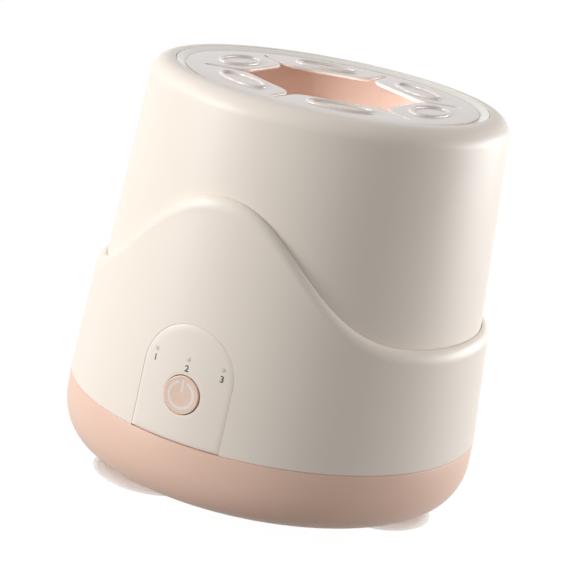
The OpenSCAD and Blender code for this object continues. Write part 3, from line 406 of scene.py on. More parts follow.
def tidy(thing: Thing) -> Thing:
    """Merges doubles, turns faces outwards and shades all but sharp edges smoothly.

    Args:
        thing: A mesh object.

    Returns:
        The same object.
    """
    work = bmesh.new()
    work.from_mesh(thing.data)
    bmesh.ops.remove_doubles(work, verts=work.verts, dist=1e-7)
    bmesh.ops.dissolve_degenerate(work, edges=work.edges, dist=1e-8)
    bmesh.ops.recalc_face_normals(work, faces=work.faces)
    work.to_mesh(thing.data)
    work.free()
    smooth(thing.data)
    return thing


def mesh_object(name: str, points: Sequence[Sequence[float]], faces: Sequence[Sequence[int]],
                finish: Finish) -> Thing:
    """Makes an object from points in millimetres.

    Args:
        name: Name of the piece.
        points: Its vertices.
        faces: Its faces.
        finish: Its surface.

    Returns:
        The object, linked to the scene.
    """
    data = bpy.data.meshes.new(name)
    data.from_pydata([tuple(c * MM for c in p) for p in points], [], faces)
    data.materials.append(finish.build())
    return tidy(linked(name, data))


def lathe(name: str, profile: Profile, finish: Finish, segments: int,
          matrix: Matrix | None = None) -> Thing:
    """Turns a closed profile round the Z axis.

    Args:
        name: Name of the piece.
        profile: Radii and heights, in order round the section.
        finish: Its surface.
        segments: Faces round the axis.
        matrix: Where the axis goes, in millimetres.

    Returns:
        The object.
    """
    points: list[Vector] = []
    rings: list[list[int]] = []
    for radius, height in profile:
        if radius < 1e-6:
            rings.append([len(points)] * segments)
            points.append(Vector((0, 0, height)))
            continue
        rings.append(list(range(len(points), len(points) + segments)))
        for k in range(segments):
            angle = 2 * math.pi * k / segments
            points.append(Vector((radius * math.sin(angle), -radius * math.cos(angle), height)))
    faces = []
    for i, ring in enumerate(rings):
        other = rings[(i + 1) % len(rings)]
        for k in range(segments):
            n = (k + 1) % segments
            face = list(dict.fromkeys([ring[k], ring[n], other[n], other[k]]))
            if len(face) > 2:
                faces.append(face)
    if matrix:
        points = [matrix @ p for p in points]
    return mesh_object(name, points, faces, finish)


def loft(name: str, loops: Sequence[Sequence[Sequence[float]]], finish: Finish,
         closed: bool) -> Thing:
    """Joins closed loops of equal length by bands of faces.

    Args:
        name: Name of the piece.
        loops: Each loop's points.
        finish: Its surface.
        closed: Whether the last loop joins the first. Otherwise both are filled.

    Returns:
        The object.
    """
    points = [p for loop in loops for p in loop]
    count = len(loops[0])
    faces: list[list[int]] = []
    for i in range(len(loops) if closed else len(loops) - 1):
        low, high = i * count, (i + 1) % len(loops) * count
        for k in range(count):
            n = (k + 1) % count
            faces.append([low + k, low + n, high + n, high + k])
    if not closed:
        for i in (0, len(loops) - 1):
            faces.append([i * count + k for k in range(count)])
    return mesh_object(name, points, faces, finish)


def evaluated(thing: Thing) -> Mesh:
    """Makes a plain mesh of an object as its modifiers leave it."""
    graph = bpy.context.evaluated_depsgraph_get()
    return bpy.data.meshes.new_from_object(thing.evaluated_get(graph))


def bake(thing: Thing) -> Thing:
    """Turns an object with modifiers into a plain mesh.

    Args:
        thing: The object.

    Returns:
        The same object, with its modifiers' result as its mesh.
    """
    data = evaluated(thing)
    thing.modifiers.clear()
    old = thing.data
    thing.data = data
    bpy.data.meshes.remove(old)
    return thing


def cut_away(thing: Thing, cutters: Sequence[Thing]) -> None:
    """Cuts shapes out of an object and removes the cutting shapes.

    Args:
        thing: What is cut.
        cutters: Closed shapes.
    """
    for cutter in cutters:
        step = thing.modifiers.new("cut", "BOOLEAN")
        step.operation, step.solver, step.object = "DIFFERENCE", "EXACT", cutter
    bake(thing)
    for cutter in cutters:
        bpy.data.objects.remove(cutter)
    tidy(thing)


def join(name: str, parts: Sequence[Thing]) -> Thing:
    """Joins meshes into one piece.

    Args:
        name: Name of the piece.
        parts: Its meshes.

    Returns:
        The first mesh, which now holds all.
    """
    whole = parts[0]
    work = bmesh.new()
    for part in parts:
        work.from_mesh(part.data)
    work.to_mesh(whole.data)
    work.free()
    for part in parts[1:]:
        bpy.data.objects.remove(part)
    whole.name = name
    smooth(whole.data)
    return whole


def place(piece: Thing, body: Body, slot: Slot, *nodes: str) -> None:
    """Lets a piece ride on a body and stand for CAD nodes, and logs it.

    Args:
        piece: The piece.
        body: What it moves with.
        slot: The record's slot of its finish. Not used.
        *nodes: CAD nodes that it replaces.
    """
    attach(piece, body.value)
    if nodes:
        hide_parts(*nodes)
    LOG.info("%s rides on %s, %d faces", piece.name, body.value, len(piece.data.polygons))


# Geometry Nodes


class NodeShape:
    """A Geometry Nodes tree with named inputs, run on an empty mesh."""

    def __init__(self, name: str, inputs: dict[str, str]) -> None:
        """Starts the tree.

        Args:
            name: Name of the tree.
            inputs: Type of each input, without its prefix. A material is added to them.
        """
        self.tree = bpy.data.node_groups.new(name, "GeometryNodeTree")
        self.names: dict[str, str] = {}
        for label, kind in {**inputs, "Material": "Material"}.items():
            made = self.tree.interface.new_socket(
                label, in_out="INPUT", socket_type="NodeSocket" + kind)
            self.names[label] = made.identifier
        self.tree.interface.new_socket(
            "Geometry", in_out="OUTPUT", socket_type="NodeSocketGeometry")
        self.given = add(self.tree, "NodeGroupInput").outputs

    def math(self, operation: str, *values: Any, clamp: bool = False) -> Socket:
        """Adds one step of a formula of numbers and outputs, clamped to 0 and 1 if asked."""
        return add(self.tree, "ShaderNodeMath", dict(enumerate(values)), operation=operation,
                   use_clamp=clamp).outputs[0]

    def close(self, geometry: Socket) -> None:
        """Ends the tree in plain geometry with its material.

        Args:
            geometry: Output of what the tree has made.
        """
        real = add(self.tree, "GeometryNodeRealizeInstances", {0: geometry})
        done = add(self.tree, "GeometryNodeSetMaterial", {
            "Geometry": real.outputs[0], "Material": self.given["Material"]})
        add(self.tree, "NodeGroupOutput", {0: done.outputs[0]})

    def run(self, name: str, finish: Finish, values: dict[str, Any]) -> Thing:
        """Makes a piece from the tree.

        Args:
            name: Name of the piece.
            finish: Its surface.
            values: Value of each other input.

        Returns:
            The piece as a plain mesh.
        """
        thing = linked(name, bpy.data.meshes.new(name))
        step = thing.modifiers.new("nodes", "NODES")
        step.node_group = self.tree
        for label, value in {**values, "Material": finish.build()}.items():
            step[self.names[label]] = value
        return tidy(bake(thing))


class CopiesRound(NodeShape):
    """Copies of one shape set at even angles round the spindle, each turned to face outwards."""

    def __init__(self) -> None:
        """Builds the tree."""
        super().__init__("copies_round_the_spindle", {
            "Shape": "Object", "Count": "Int", "First Angle": "Float", "Step Angle": "Float",
            "Radius": "Float", "Height": "Float"})
        given, tree, times = self.given, self.tree, partial(self.math, "MULTIPLY")
        line = add(tree, "GeometryNodeMeshLine", {"Count": given["Count"]})
        index = add(tree, "GeometryNodeInputIndex").outputs[0]
        angle = self.math("RADIANS", self.math(
            "MULTIPLY_ADD", index, given["Step Angle"], given["First Angle"]))
        east = times(given["Radius"], self.math("SINE", angle))
        south = times(given["Radius"], self.math("COSINE", angle))
        spot = add(tree, "ShaderNodeCombineXYZ", {
            0: east, 1: times(south, -1.0), 2: given["Height"]})
        points = add(tree, "GeometryNodeSetPosition", {
            "Geometry": line.outputs[0], "Position": spot.outputs[0]})
        turn = add(tree, "ShaderNodeCombineXYZ", {2: angle})
        shape = add(tree, "GeometryNodeObjectInfo", {"Object": given["Shape"]})
        copies = add(tree, "GeometryNodeInstanceOnPoints", {
            "Points": points.outputs[0], "Instance": shape.outputs["Geometry"],
            "Rotation": turn.outputs[0]})
        self.close(copies.outputs[0])

    def spread(self, name: str, shape: Thing, count: int, first: float, step: float,
               radius: float, height: float, finish: Finish) -> Thing:
        """Makes the copies and removes the shape.

        Args:
            name: Name of the piece.
            shape: What is copied, at the origin with its front towards -Y.
            count: How many copies.
            first: Angle of the first from the front, in degrees.
            step: Angle between copies.
            radius: Distance from the spindle, in millimetres.
            height: Height, in millimetres.
            finish: The copies' surface.

        Returns:
            The piece.
        """
        piece = self.run(name, finish, {
            "Shape": shape, "Count": count, "First Angle": first, "Step Angle": step,
            "Radius": radius * MM, "Height": height * MM})
        bpy.data.objects.remove(shape)
        return piece


class WaveWall(NodeShape):
    """Closed wall round the spindle whose upper lip rises to a crest at the front.

    The section runs up the outside, over the rounded lip, down the bore and back along the foot.
    """

    # Rows of faces on the foot's edge, the outside, the lip, the bore and the foot
    BANDS = (3, 40, 12, 24, 3)
    NUMBERS = ("Foot Radius", "Foot Height", "Slope", "Lip Height", "Crest Rise", "Crest Spread",
               "Crest Power", "Bore Radius", "Bore Slope", "Rounding", "Foot Edge")

    def __init__(self) -> None:
        """Builds the tree."""
        super().__init__("wall_with_a_wavy_lip", {
            **dict.fromkeys(self.NUMBERS, "Float"), "Columns": "Int"})
        tree, calc = self.tree, self.math
        times, minus, times_plus = (
            partial(calc, kind) for kind in ("MULTIPLY", "SUBTRACT", "MULTIPLY_ADD"))
        (wall_r, foot_h, slope, lip_h, crest_rise, spread, power, lip_r, bore_slope, rounding,
         foot_edge) = (self.given[name] for name in self.NUMBERS)
        rows = sum(self.BANDS)
        grid = add(tree, "GeometryNodeMeshGrid", {
            "Size X": 1.0, "Size Y": 1.0, "Vertices X": self.given["Columns"],
            "Vertices Y": rows + 1})
        spot = add(tree, "GeometryNodeInputPosition")
        flat = add(tree, "ShaderNodeSeparateXYZ", {0: spot.outputs[0]})
        row = times(calc("ADD", flat.outputs[1], 0.5), float(rows))
        shares = []
        start = 0
        for length in self.BANDS:
            shares.append(calc("DIVIDE", minus(row, float(start)), float(length), clamp=True))
            start += length
        foot, outside, lip, bore, back = shares
        turn = times(flat.outputs[0], 2 * math.pi)
        wave = calc("ABSOLUTE", calc("DIVIDE", calc("DEGREES", turn), spread))
        crest = calc("EXPONENT", times(calc("POWER", wave, power), -0.5))
        top = times_plus(crest_rise, crest, lip_h)
        rise = minus(minus(top, rounding), foot_h)
        drop = minus(top, foot_h)
        bend = times(lip, math.pi / 2)
        height = times_plus(foot_edge, foot, foot_h)
        height = times_plus(minus(rise, foot_edge), outside, height)
        height = times_plus(rounding, calc("SINE", bend), height)
        height = minus(height, times(drop, bore))
        edge_r = minus(wall_r, times(slope, rise))
        bore_r = times_plus(bore_slope, minus(lip_h, top), lip_r)
        foot_bore_r = times_plus(bore_slope, drop, bore_r)
        radius = minus(wall_r, times(foot_edge, minus(1.0, foot)))
        radius = minus(radius, times(times(slope, rise), outside))
        radius = times_plus(minus(bore_r, edge_r), minus(1.0, calc("COSINE", bend)), radius)
        radius = times_plus(minus(foot_bore_r, bore_r), bore, radius)
        width = minus(minus(wall_r, foot_edge), foot_bore_r)
        radius = times_plus(width, back, radius)
        there = add(tree, "ShaderNodeCombineXYZ", {
            0: times(radius, calc("SINE", turn)),
            1: times(radius, times(calc("COSINE", turn), -1.0)), 2: height})
        wall = add(tree, "GeometryNodeSetPosition", {
            "Geometry": grid.outputs[0], "Position": there.outputs[0]})
        whole = add(tree, "GeometryNodeMergeByDistance", {
            "Geometry": wall.outputs[0], "Distance": 2e-6})
        self.close(whole.outputs[0])


# Shared measures of the shells


@dataclass
class Shells:
    """Radii and heights that the shells share, as in the CAD model."""

    seam_r: float = 70.0
    seam_h: float = 26.5
    foot_h: float = 5.0
    overall_h: float = 136.5
    lower_slope: float = math.tan(math.radians(4.35))
    head_slope: float = math.tan(math.radians(3.66))
    lip_h: float = 66.2
    lip_wall: float = 2.2
    run_gap: float = 0.55
    shoulder_r: float = 6.35
    disc_top: float = 135.7
    disc_t: float = 1.2
    margin_t: float = 0.7

    def lower_r(self, z: float) -> float:
        """Outer radius of the lower shell at a height."""
        return self.seam_r - self.lower_slope * (z - self.seam_h)

    def bore_r(self, z: float) -> float:
        """Inner radius of the lower shell at a height."""
        return self.lower_r(self.lip_h) - self.lip_wall + self.head_slope * (self.lip_h - z)

    def head_r(self, z: float) -> float:
        """Outer radius of the head at a height."""
        return self.bore_r(z) - self.run_gap

    @property
    def ridge_r(self) -> float:
        """Radius of the ridge at the top of the shoulder."""
        height = self.overall_h - self.shoulder_r
        return self.head_r(height) - self.shoulder_r * math.hypot(1, self.head_slope)

    @property
    def disc_z(self) -> float:
        """Height of the underside of the grip disc."""
        return self.disc_top - self.disc_t

    @property
    def facing(self) -> Matrix:
        """Turn that points +Z straight out of the front of the lower shell."""
        return Matrix.Rotation(math.radians(90) - math.atan(self.lower_slope), 4, "X")

    def front(self, x: float, z: float, depth: float) -> Triple:
        """Point at the front of the lower shell, at a depth below its surface."""
        radius = self.lower_r(z) - depth
        return x, -math.sqrt(radius * radius - x * x), z


# Sub-assemblies


@dataclass
class BasePan:
    """Pink pan with its rounded lower edge, screw wells and three suction feet."""

    shells: Shells
    copies: CopiesRound
    wall: float = 2.4
    edge_h: float = 13.4
    edge_w: float = 9.4
    edge_cut: float = 0.35
    edge_bow: float = 0.1
    well_count: int = 3
    well_turn: float = 30.0
    well_at: float = 56.5
    well_r: float = 3.1
    well_wall: float = 1.4
    well_low: float = 0.3
    well_depth: float = 15.0
    well_floor: float = 2.0
    hole_r: float = 1.7
    drill_z: Point = (-2.0, 4.0)
    foot_count: int = 3
    foot_turn: float = -30.0
    foot_at: float = 43.5
    foot_r: float = 19.6
    foot_rim: float = 1.4
    foot_edge: Point = (0.3, 0.2)
    foot_gap: float = 0.8
    bell_low: float = 0.5
    bell_w: float = 10.0
    bell_steps: int = 16
    hollow_h: float = 2.4
    collar_r: float = 8.0
    neck_r: float = 4.6
    knob_r: Point = (6.4, 6.2)
    knob_h: Point = (1.0, 2.8)

    def outline(self) -> Profile:
        """Section of the pan.

        Returns:
            Its closed outline.
        """
        s, cut, bow = self.shells, self.edge_cut, self.edge_bow
        centre = (s.seam_r - self.edge_w, s.foot_h + self.edge_h)
        outer = arc(centre, (self.edge_w, self.edge_h), -90, 0, 28)
        inner = arc(centre, (self.edge_w - self.wall, self.edge_h - self.wall), 0, -90, 20)
        rim = [(s.seam_r, s.seam_h - cut), (s.seam_r - bow, s.seam_h - bow),
               (s.seam_r - cut, s.seam_h), (s.seam_r - self.wall, s.seam_h)]
        return [(0.0, s.foot_h), *outer, *rim, *inner, (0.0, s.foot_h + self.wall)]

    def build(self) -> None:
        """Builds the pan and its feet."""
        well_r, out_r, depth = self.well_r, self.well_r + self.well_wall, self.well_depth
        low, high = self.drill_z
        around = (self.well_count, self.well_turn, 360 / self.well_count, self.well_at,
                  self.shells.foot_h, PINK_ABS)
        pan = lathe("pan_shell", self.outline(), PINK_ABS, 256)
        drill = lathe("drill", [(0.0, low), (well_r, low), (well_r, high), (0.0, high)],
                      PINK_ABS, 48)
        cut_away(pan, [self.copies.spread("drills", drill, *around)])
        end = depth + self.well_floor
        tube = lathe("well", [(well_r, self.well_low), (well_r, depth), (self.hole_r, depth),
                              (self.hole_r, end), (out_r, end), (out_r, self.well_low)],
                     PINK_ABS, 48)
        wells = self.copies.spread("wells", tube, *around)
        place(join("pan_shell", [pan, wells]), Body.BASE, Slot.PINK, "base_pan")
        foot = lathe("foot", self.foot_outline(), CLEAR_SILICONE, 96)
        feet = self.copies.spread("suction_cups", foot, self.foot_count, self.foot_turn,
                                  360 / self.foot_count, self.foot_at, 0.0, CLEAR_SILICONE)
        place(feet, Body.BASE, Slot.CLEAR_SILICONE, "suction_feet")

    def foot_outline(self) -> Profile:
        """Section of a suction foot: a thin bell on a buttoned stem.

        Returns:
            Its closed outline.
        """
        pan, floor = self.shells.foot_h, self.shells.foot_h + self.wall
        top, low, steps = pan - self.foot_gap, self.bell_low, self.bell_steps
        sines = [math.sin(math.pi / 2 * i / steps) for i in range(steps + 1)]
        bell = [(self.foot_r - self.bell_w * i / steps, low + (top - low) * sine)
                for i, sine in enumerate(sines)]
        hollow = [((self.foot_r - self.foot_rim) * sine, self.hollow_h * (1 - (i / steps) ** 2))
                  for i, sine in enumerate(sines)]
        end = floor + self.knob_h[1]
        return [(self.foot_r - self.foot_edge[0], 0.0), (self.foot_r, self.foot_edge[1]), *bell,
                (self.collar_r, top), (self.collar_r, pan), (self.neck_r, pan),
                (self.neck_r, floor), (self.knob_r[0], floor),
                (self.knob_r[1], floor + self.knob_h[0]), (self.neck_r, end), (0.0, end), *hollow]


@dataclass
class LowerShell:
    """Cream wall with the wavy lip, recessed for the panel and pierced for the charge socket."""

    shells: Shells
    wave: WaveWall
    crest_rise: float = 39.0
    crest_spread: float = 24.5
    crest_power: float = 2.3
    lip_round: float = 5.0
    lip_gap: float = 0.22
    edge_cut: float = 0.35
    columns: int = 481
    socket: Triple = (9.4, 3.7, 33.25)
    socket_cut: Point = (55.0, 80.0)
    window: Triple = (28.0, 34.0, 56.0)
    window_cut: Point = (-80.0, -50.0)
    window_r: float = 1.0

    def build(self, recess: Thing) -> None:
        """Builds the wall.

        Args:
            recess: Shape of the panel's recess.
        """
        s = self.shells
        wall = self.wave.run("wave_shell", CREAM_ABS, {
            "Foot Radius": s.seam_r * MM, "Foot Height": s.seam_h * MM, "Slope": s.lower_slope,
            "Lip Height": s.lip_h * MM, "Crest Rise": self.crest_rise * MM,
            "Crest Spread": self.crest_spread, "Crest Power": self.crest_power,
            "Bore Radius": (s.head_r(s.lip_h) + self.lip_gap) * MM, "Bore Slope": s.head_slope,
            "Rounding": self.lip_round * MM, "Foot Edge": self.edge_cut * MM,
            "Columns": self.columns})
        cut_away(wall, [recess, self.slot(), self.opening()])
        place(wall, Body.BASE, Slot.CREAM, "lower_shell")

    def slot(self) -> Thing:
        """Shape of the hole for the charge socket.

        Returns:
            The cutting shape.
        """
        width, height, z = self.socket
        ring = rounded([(x * width / 2, y * height / 2, height / 2 - 0.01)
                        for x, y in ((-1, -1), (1, -1), (1, 1), (-1, 1))], 8)
        loops = [[(x, y, z + h) for x, h in ring] for y in self.socket_cut]
        return loft("slot", loops, CREAM_ABS, False)

    def opening(self) -> Thing:
        """Shape of the window behind the panel, for the button and the switch board.

        Returns:
            The cutting shape.
        """
        width, low, high = self.window
        ring = rounded([(side * width / 2, z, self.window_r)
                        for side, z in ((1, low), (-1, low), (-1, high), (1, high))], 4)
        loops = [[(x, y, z) for x, z in ring] for y in self.window_cut]
        return loft("opening", loops, CREAM_ABS, False)


@dataclass
class ControlPanel:
    """Arched panel with the button's hole, printed numerals and three lamp lenses."""

    shells: Shells
    copies: CopiesRound
    width: float = 32.0
    top_h: float = 64.4
    low_gap: float = 0.5
    thick: float = 1.4
    seat_gap: float = 0.1
    gap: float = 0.06
    edge: float = 0.15
    button_d: float = 12.4
    button_h: float = 41.9
    button_gap: float = 0.18
    hole_edge: Triple = (0.3, 0.08, 0.006)
    lamp_h: float = 53.5
    lamp_angle: float = 10.2
    lamp_d: float = 1.5
    lens_z: tuple[float, ...] = (-1.0, 0.02, 0.07, 0.12)
    lens_edge: float = 0.2
    numeral_h: float = 50.6
    numeral_size: float = 2.9
    numeral_mid: float = 0.35
    numeral_bold: float = 0.05
    ink: Point = (-0.05, 0.03)

    def outline(self, grow: float, low: float) -> Profile:
        """Arch as seen from the front.

        Args:
            grow: How much wider it is on each side.
            low: Height of its lower edge.

        Returns:
            The outline from the middle of the lower edge, anticlockwise.
        """
        half = self.width / 2 + grow
        spring = self.top_h - self.width / 2
        base = [(half * i / 8, low) for i in range(9)]
        right = [(half, low + (spring - low) * i / 12) for i in range(1, 12)]
        head = arc((0.0, spring), (half, half), 0, 180, 72)
        left = [(-x, z) for x, z in reversed([*base[1:], *right])]
        return [*base, *right, *head, *left]

    def ring(self, outline: Profile, share: float = 1.0, inset: float = 0.0,
             depth: float = 0.0) -> list[Triple]:
        """Ring on the shell's front, on the rays from the button's middle to an outline.

        Args:
            outline: The outline.
            share: 0 at the button's hole and 1 at the outline.
            inset: How far it is drawn in from there.
            depth: Distance below the shell's surface.

        Returns:
            The ring's points.
        """
        radius = self.button_d / 2 + self.button_gap
        ring = []
        for x, z in outline:
            line = Vector((x, z - self.button_h))
            line *= (radius + (line.length - radius) * share - inset) / line.length
            ring.append(self.shells.front(line.x, line.y + self.button_h, depth))
        return ring

    def recess(self) -> Thing:
        """Shape that the panel's seat takes from the lower shell.

        Returns:
            The cutting shape.
        """
        outline = self.outline(self.gap, self.shells.seam_h - 1)
        shares = (0.02, 0.25, 0.5, 0.75, 1.0)
        loops = [self.ring(outline, share, depth=-1.0) for share in shares]
        loops += [self.ring(outline, share, depth=self.thick) for share in reversed(shares)]
        return loft("recess", loops, CREAM_ABS, True)

    def build(self) -> None:
        """Builds the panel, its numerals and its lenses."""
        outline = self.outline(0.0, self.shells.seam_h + self.low_gap)
        ring = partial(self.ring, outline)
        back, edge = self.thick - self.seat_gap, self.edge
        hole_depth, soft_depth, soft_share = self.hole_edge
        loops = [ring(0.0, depth=back), ring(0.0, depth=hole_depth),
                 ring(soft_share, depth=soft_depth)]
        loops += [ring(share) for share in (0.04, 0.12, 0.25, 0.4, 0.55, 0.7, 0.85)]
        loops += [ring(inset=inset, depth=depth) for inset, depth in (
            (edge, 0.0), (edge * 0.3, edge * 0.3), (0.0, edge), (0.0, back))]
        loops += [ring(share, depth=back) for share in (0.75, 0.5, 0.25)]
        panel = loft("panel_face", loops, CREAM_ABS, True)
        place(panel, Body.BASE, Slot.CREAM, "control_panel")
        for number, angle in ((1, -self.lamp_angle), (2, 0.0), (3, self.lamp_angle)):
            self.numeral(number, angle)
        r, (low, side, bow, top) = self.lamp_d / 2, self.lens_z
        lens = lathe("lens", [(0.0, low), (r, low), (r, side), (r - self.lens_edge, bow),
                              (0.0, top)], ACRYLIC, 32, self.shells.facing)
        lenses = self.copies.spread("lamp_lenses", lens, 3, -self.lamp_angle, self.lamp_angle,
                                    self.shells.lower_r(self.lamp_h), self.lamp_h, ACRYLIC)
        place(lenses, Body.BASE, Slot.ACRYLIC, "light_guides")

    def numeral(self, number: int, angle: float) -> None:
        """Prints one numeral on the panel.

        Args:
            number: What it says.
            angle: Its place round the shell, in degrees from the front.
        """
        text = bpy.data.curves.new("numeral", "FONT")
        text.body = str(number)
        text.align_x = "CENTER"
        text.size = self.numeral_size
        text.resolution_u = 6
        text.offset = self.numeral_bold
        flat = linked("numeral", text)
        work = bmesh.new()
        work.from_mesh(evaluated(flat))
        bpy.data.objects.remove(flat)
        bmesh.ops.remove_doubles(work, verts=work.verts, dist=1e-5)
        bmesh.ops.triangulate(work, faces=work.faces)
        work.verts.index_update()
        low = self.numeral_h - self.numeral_size * self.numeral_mid
        points = []
        for level in self.ink:
            for x, y, _ in (vert.co for vert in work.verts):
                radius = self.shells.lower_r(low + y) + level
                turn = math.radians(angle) + x / radius
                points.append((radius * math.sin(turn), -radius * math.cos(turn), low + y))
        above = len(work.verts)
        under = [[vert.index for vert in face.verts] for face in work.faces]
        over = [[i + above for i in face] for face in under]
        rim = [[vert.index for vert in edge.verts] for edge in work.edges if edge.is_boundary]
        walls = [[a, b, b + above, a + above] for a, b in rim]
        work.free()
        piece = mesh_object(f"numeral_{number}", points, [*under, *over, *walls], DARK_INK)
        place(piece, Body.BASE, Slot.NYLON)


@dataclass
class PowerButton:
    """Round button with a shallow dish and the standard power sign printed on it."""

    shells: Shells
    diameter: float = 12.3
    height: float = 41.9
    proud: float = 0.25
    dish: float = 0.15
    edge: float = 0.3
    flange_w: float = 1.2
    flange_z: Point = (-2.4, -3.4)
    stem_r: float = 1.7
    stem_z: float = -4.6
    sign_r: float = 4.25
    sign_w: float = 0.9
    sign_gap: float = 24.0
    bar_low: float = 1.1
    bar_share: float = 0.85
    ink: float = 0.03
    ink_low: float = -0.05
    cap_steps: Triple = (0.99, 0.8, 0.5)

    def matrix(self) -> Matrix:
        """Place of the button's axis, in millimetres."""
        spot = (0, -self.shells.lower_r(self.height), self.height)
        return Matrix.Translation(spot) @ self.shells.facing

    def face(self, radius: float) -> float:
        """Height of the dished face at a distance from its middle."""
        inner = self.diameter / 2 - self.edge
        return self.proud - self.dish * (1 - min(1.0, radius / inner) ** 2)

    def build(self) -> None:
        """Builds the button and its sign."""
        r = self.diameter / 2
        inner, wide = r - self.edge, r + self.flange_w
        high, low = self.flange_z
        dish = [(inner * i / 10, self.face(inner * i / 10)) for i in range(11)]
        edge = arc((inner, self.proud - self.edge), (self.edge, self.edge), 90, 0, 8)
        skirt = [(r, high), (wide, high), (wide, low), (self.stem_r, low),
                 (self.stem_r, self.stem_z), (0.0, self.stem_z)]
        cap = lathe("button_cap", [*dish, *edge[1:], *skirt], BUTTON_ABS, 128, self.matrix())
        place(cap, Body.BUTTON, Slot.PINK, "power_button")
        half = self.sign_w / 2
        gap, top = self.sign_gap, self.sign_r + half
        sweep = [math.radians(gap + (360 - 2 * gap) * i / 72) for i in range(73)]
        ring = [(self.sign_r * math.sin(a), self.sign_r * math.cos(a)) for a in sweep]
        bar = [(0.0, top - i * (top - self.bar_low) / 12) for i in range(13)]
        sign = join("power_sign", [self.stroke("arc", ring, half),
                                   self.stroke("bar", bar, half * self.bar_share)])
        place(sign, Body.BUTTON, Slot.PINK)

    def stroke(self, name: str, path: Profile, half: float) -> Thing:
        """Line of ink that follows the dish, with round ends.

        Args:
            name: Name of the mesh.
            path: Its middle line on the face.
            half: Half of its width.

        Returns:
            The mesh.
        """
        line = [Vector(p) for p in path]
        first, last = (line[0] - line[1]).normalized(), (line[-1] - line[-2]).normalized()
        caps = [(t, half * math.sqrt(1 - t * t)) for t in self.cap_steps]
        widths = [(line[0] + first * half * t, wide) for t, wide in caps]
        widths += [(p, half) for p in line]
        widths += [(line[-1] + last * half * t, wide) for t, wide in reversed(caps)]
        ink, low, soft = self.ink, self.ink_low, self.ink * 0.6
        loops = []
        for i, (spot, wide) in enumerate(widths):
            ahead = widths[min(i + 1, len(widths) - 1)][0] - widths[max(i - 1, 0)][0]
            across = Vector((-ahead.y, ahead.x)).normalized() * wide
            loop = []
            for t, lift in ((-1, low), (-1, soft), (-0.8, ink), (0, ink), (0.8, ink), (1, soft),
                            (1, low)):
                p = spot + across * t
                loop.append(self.matrix() @ Vector((p.x, p.y, self.face(p.length) + lift)))
            loops.append(loop)
        return loft(name, loops, PALE_INK, False)


@dataclass
class HeadShell:
    """Turning upper shell with its rounded shoulder, and the ring that clamps the grip disc."""

    shells: Shells
    wall: float = 2.2
    overlap: float = 6.4
    shoulder_end: float = 84.0
    rim_flat: float = 1.2
    rim_w: float = 2.0
    rim_edge: float = 0.2
    flange_drop: float = 2.4
    ledge_r: float = 48.37
    ledge_t: float = 2.2
    ring_gap: float = 0.12
    ring_drop: float = 0.1
    ring_edge: float = 0.25
    ring_in: float = 49.27
    ring_lip: float = 0.12
    ring_leg: float = 0.95

    def build(self) -> None:
        """Builds the shell and the ring."""
        s = self.shells
        low = s.lip_h - self.overlap
        centre = (s.ridge_r, s.overall_h - s.shoulder_r)
        draft = math.degrees(math.atan(s.head_slope))
        rim_r = s.ridge_r - self.rim_flat
        in_r = s.shoulder_r - self.wall
        bend = math.degrees(math.acos((self.rim_w - self.rim_flat) / in_r))
        flange_z, edge = s.disc_z - self.flange_drop, self.rim_edge
        heights = [low + (centre[1] - low) * i / 24 for i in range(24)]
        profile = [*[(s.head_r(z), z) for z in heights],
                   *arc(centre, (s.shoulder_r, s.shoulder_r), draft, self.shoulder_end, 20),
                   *arc((rim_r + edge, s.overall_h - edge), (edge, edge), 90, 180, 4),
                   (rim_r, flange_z), (self.ledge_r, flange_z),
                   (self.ledge_r, flange_z - self.ledge_t),
                   (rim_r + self.rim_w, flange_z - self.ledge_t),
                   *arc(centre, (in_r, in_r), bend, draft, 8), (s.head_r(low) - self.wall, low)]
        shell = lathe("head_shell", profile, CREAM_ABS, 288)
        place(shell, Body.HEAD, Slot.CREAM, "upper_shell")
        out_r = rim_r - self.ring_gap
        leg_r = out_r - self.ring_leg
        top, margin = s.overall_h - self.ring_drop, s.disc_z + s.margin_t
        section = rounded([
            (self.ring_in, margin, 0.0), (self.ring_in, margin + self.ring_lip, 0.06),
            (out_r - self.ring_edge, top, 0.3), (out_r, top - self.ring_edge, 0.1),
            (out_r, flange_z, 0.0), (leg_r, flange_z, 0.0), (leg_r, margin, 0.0)])
        # The ring's colour is painted lighter than the cream, as a painted highlight
        ring = lathe("rim_ring", section, POLISHED_ABS_PAINTED_LIGHTER, 288)
        place(ring, Body.HEAD, Slot.CREAM, "clamp_ring")


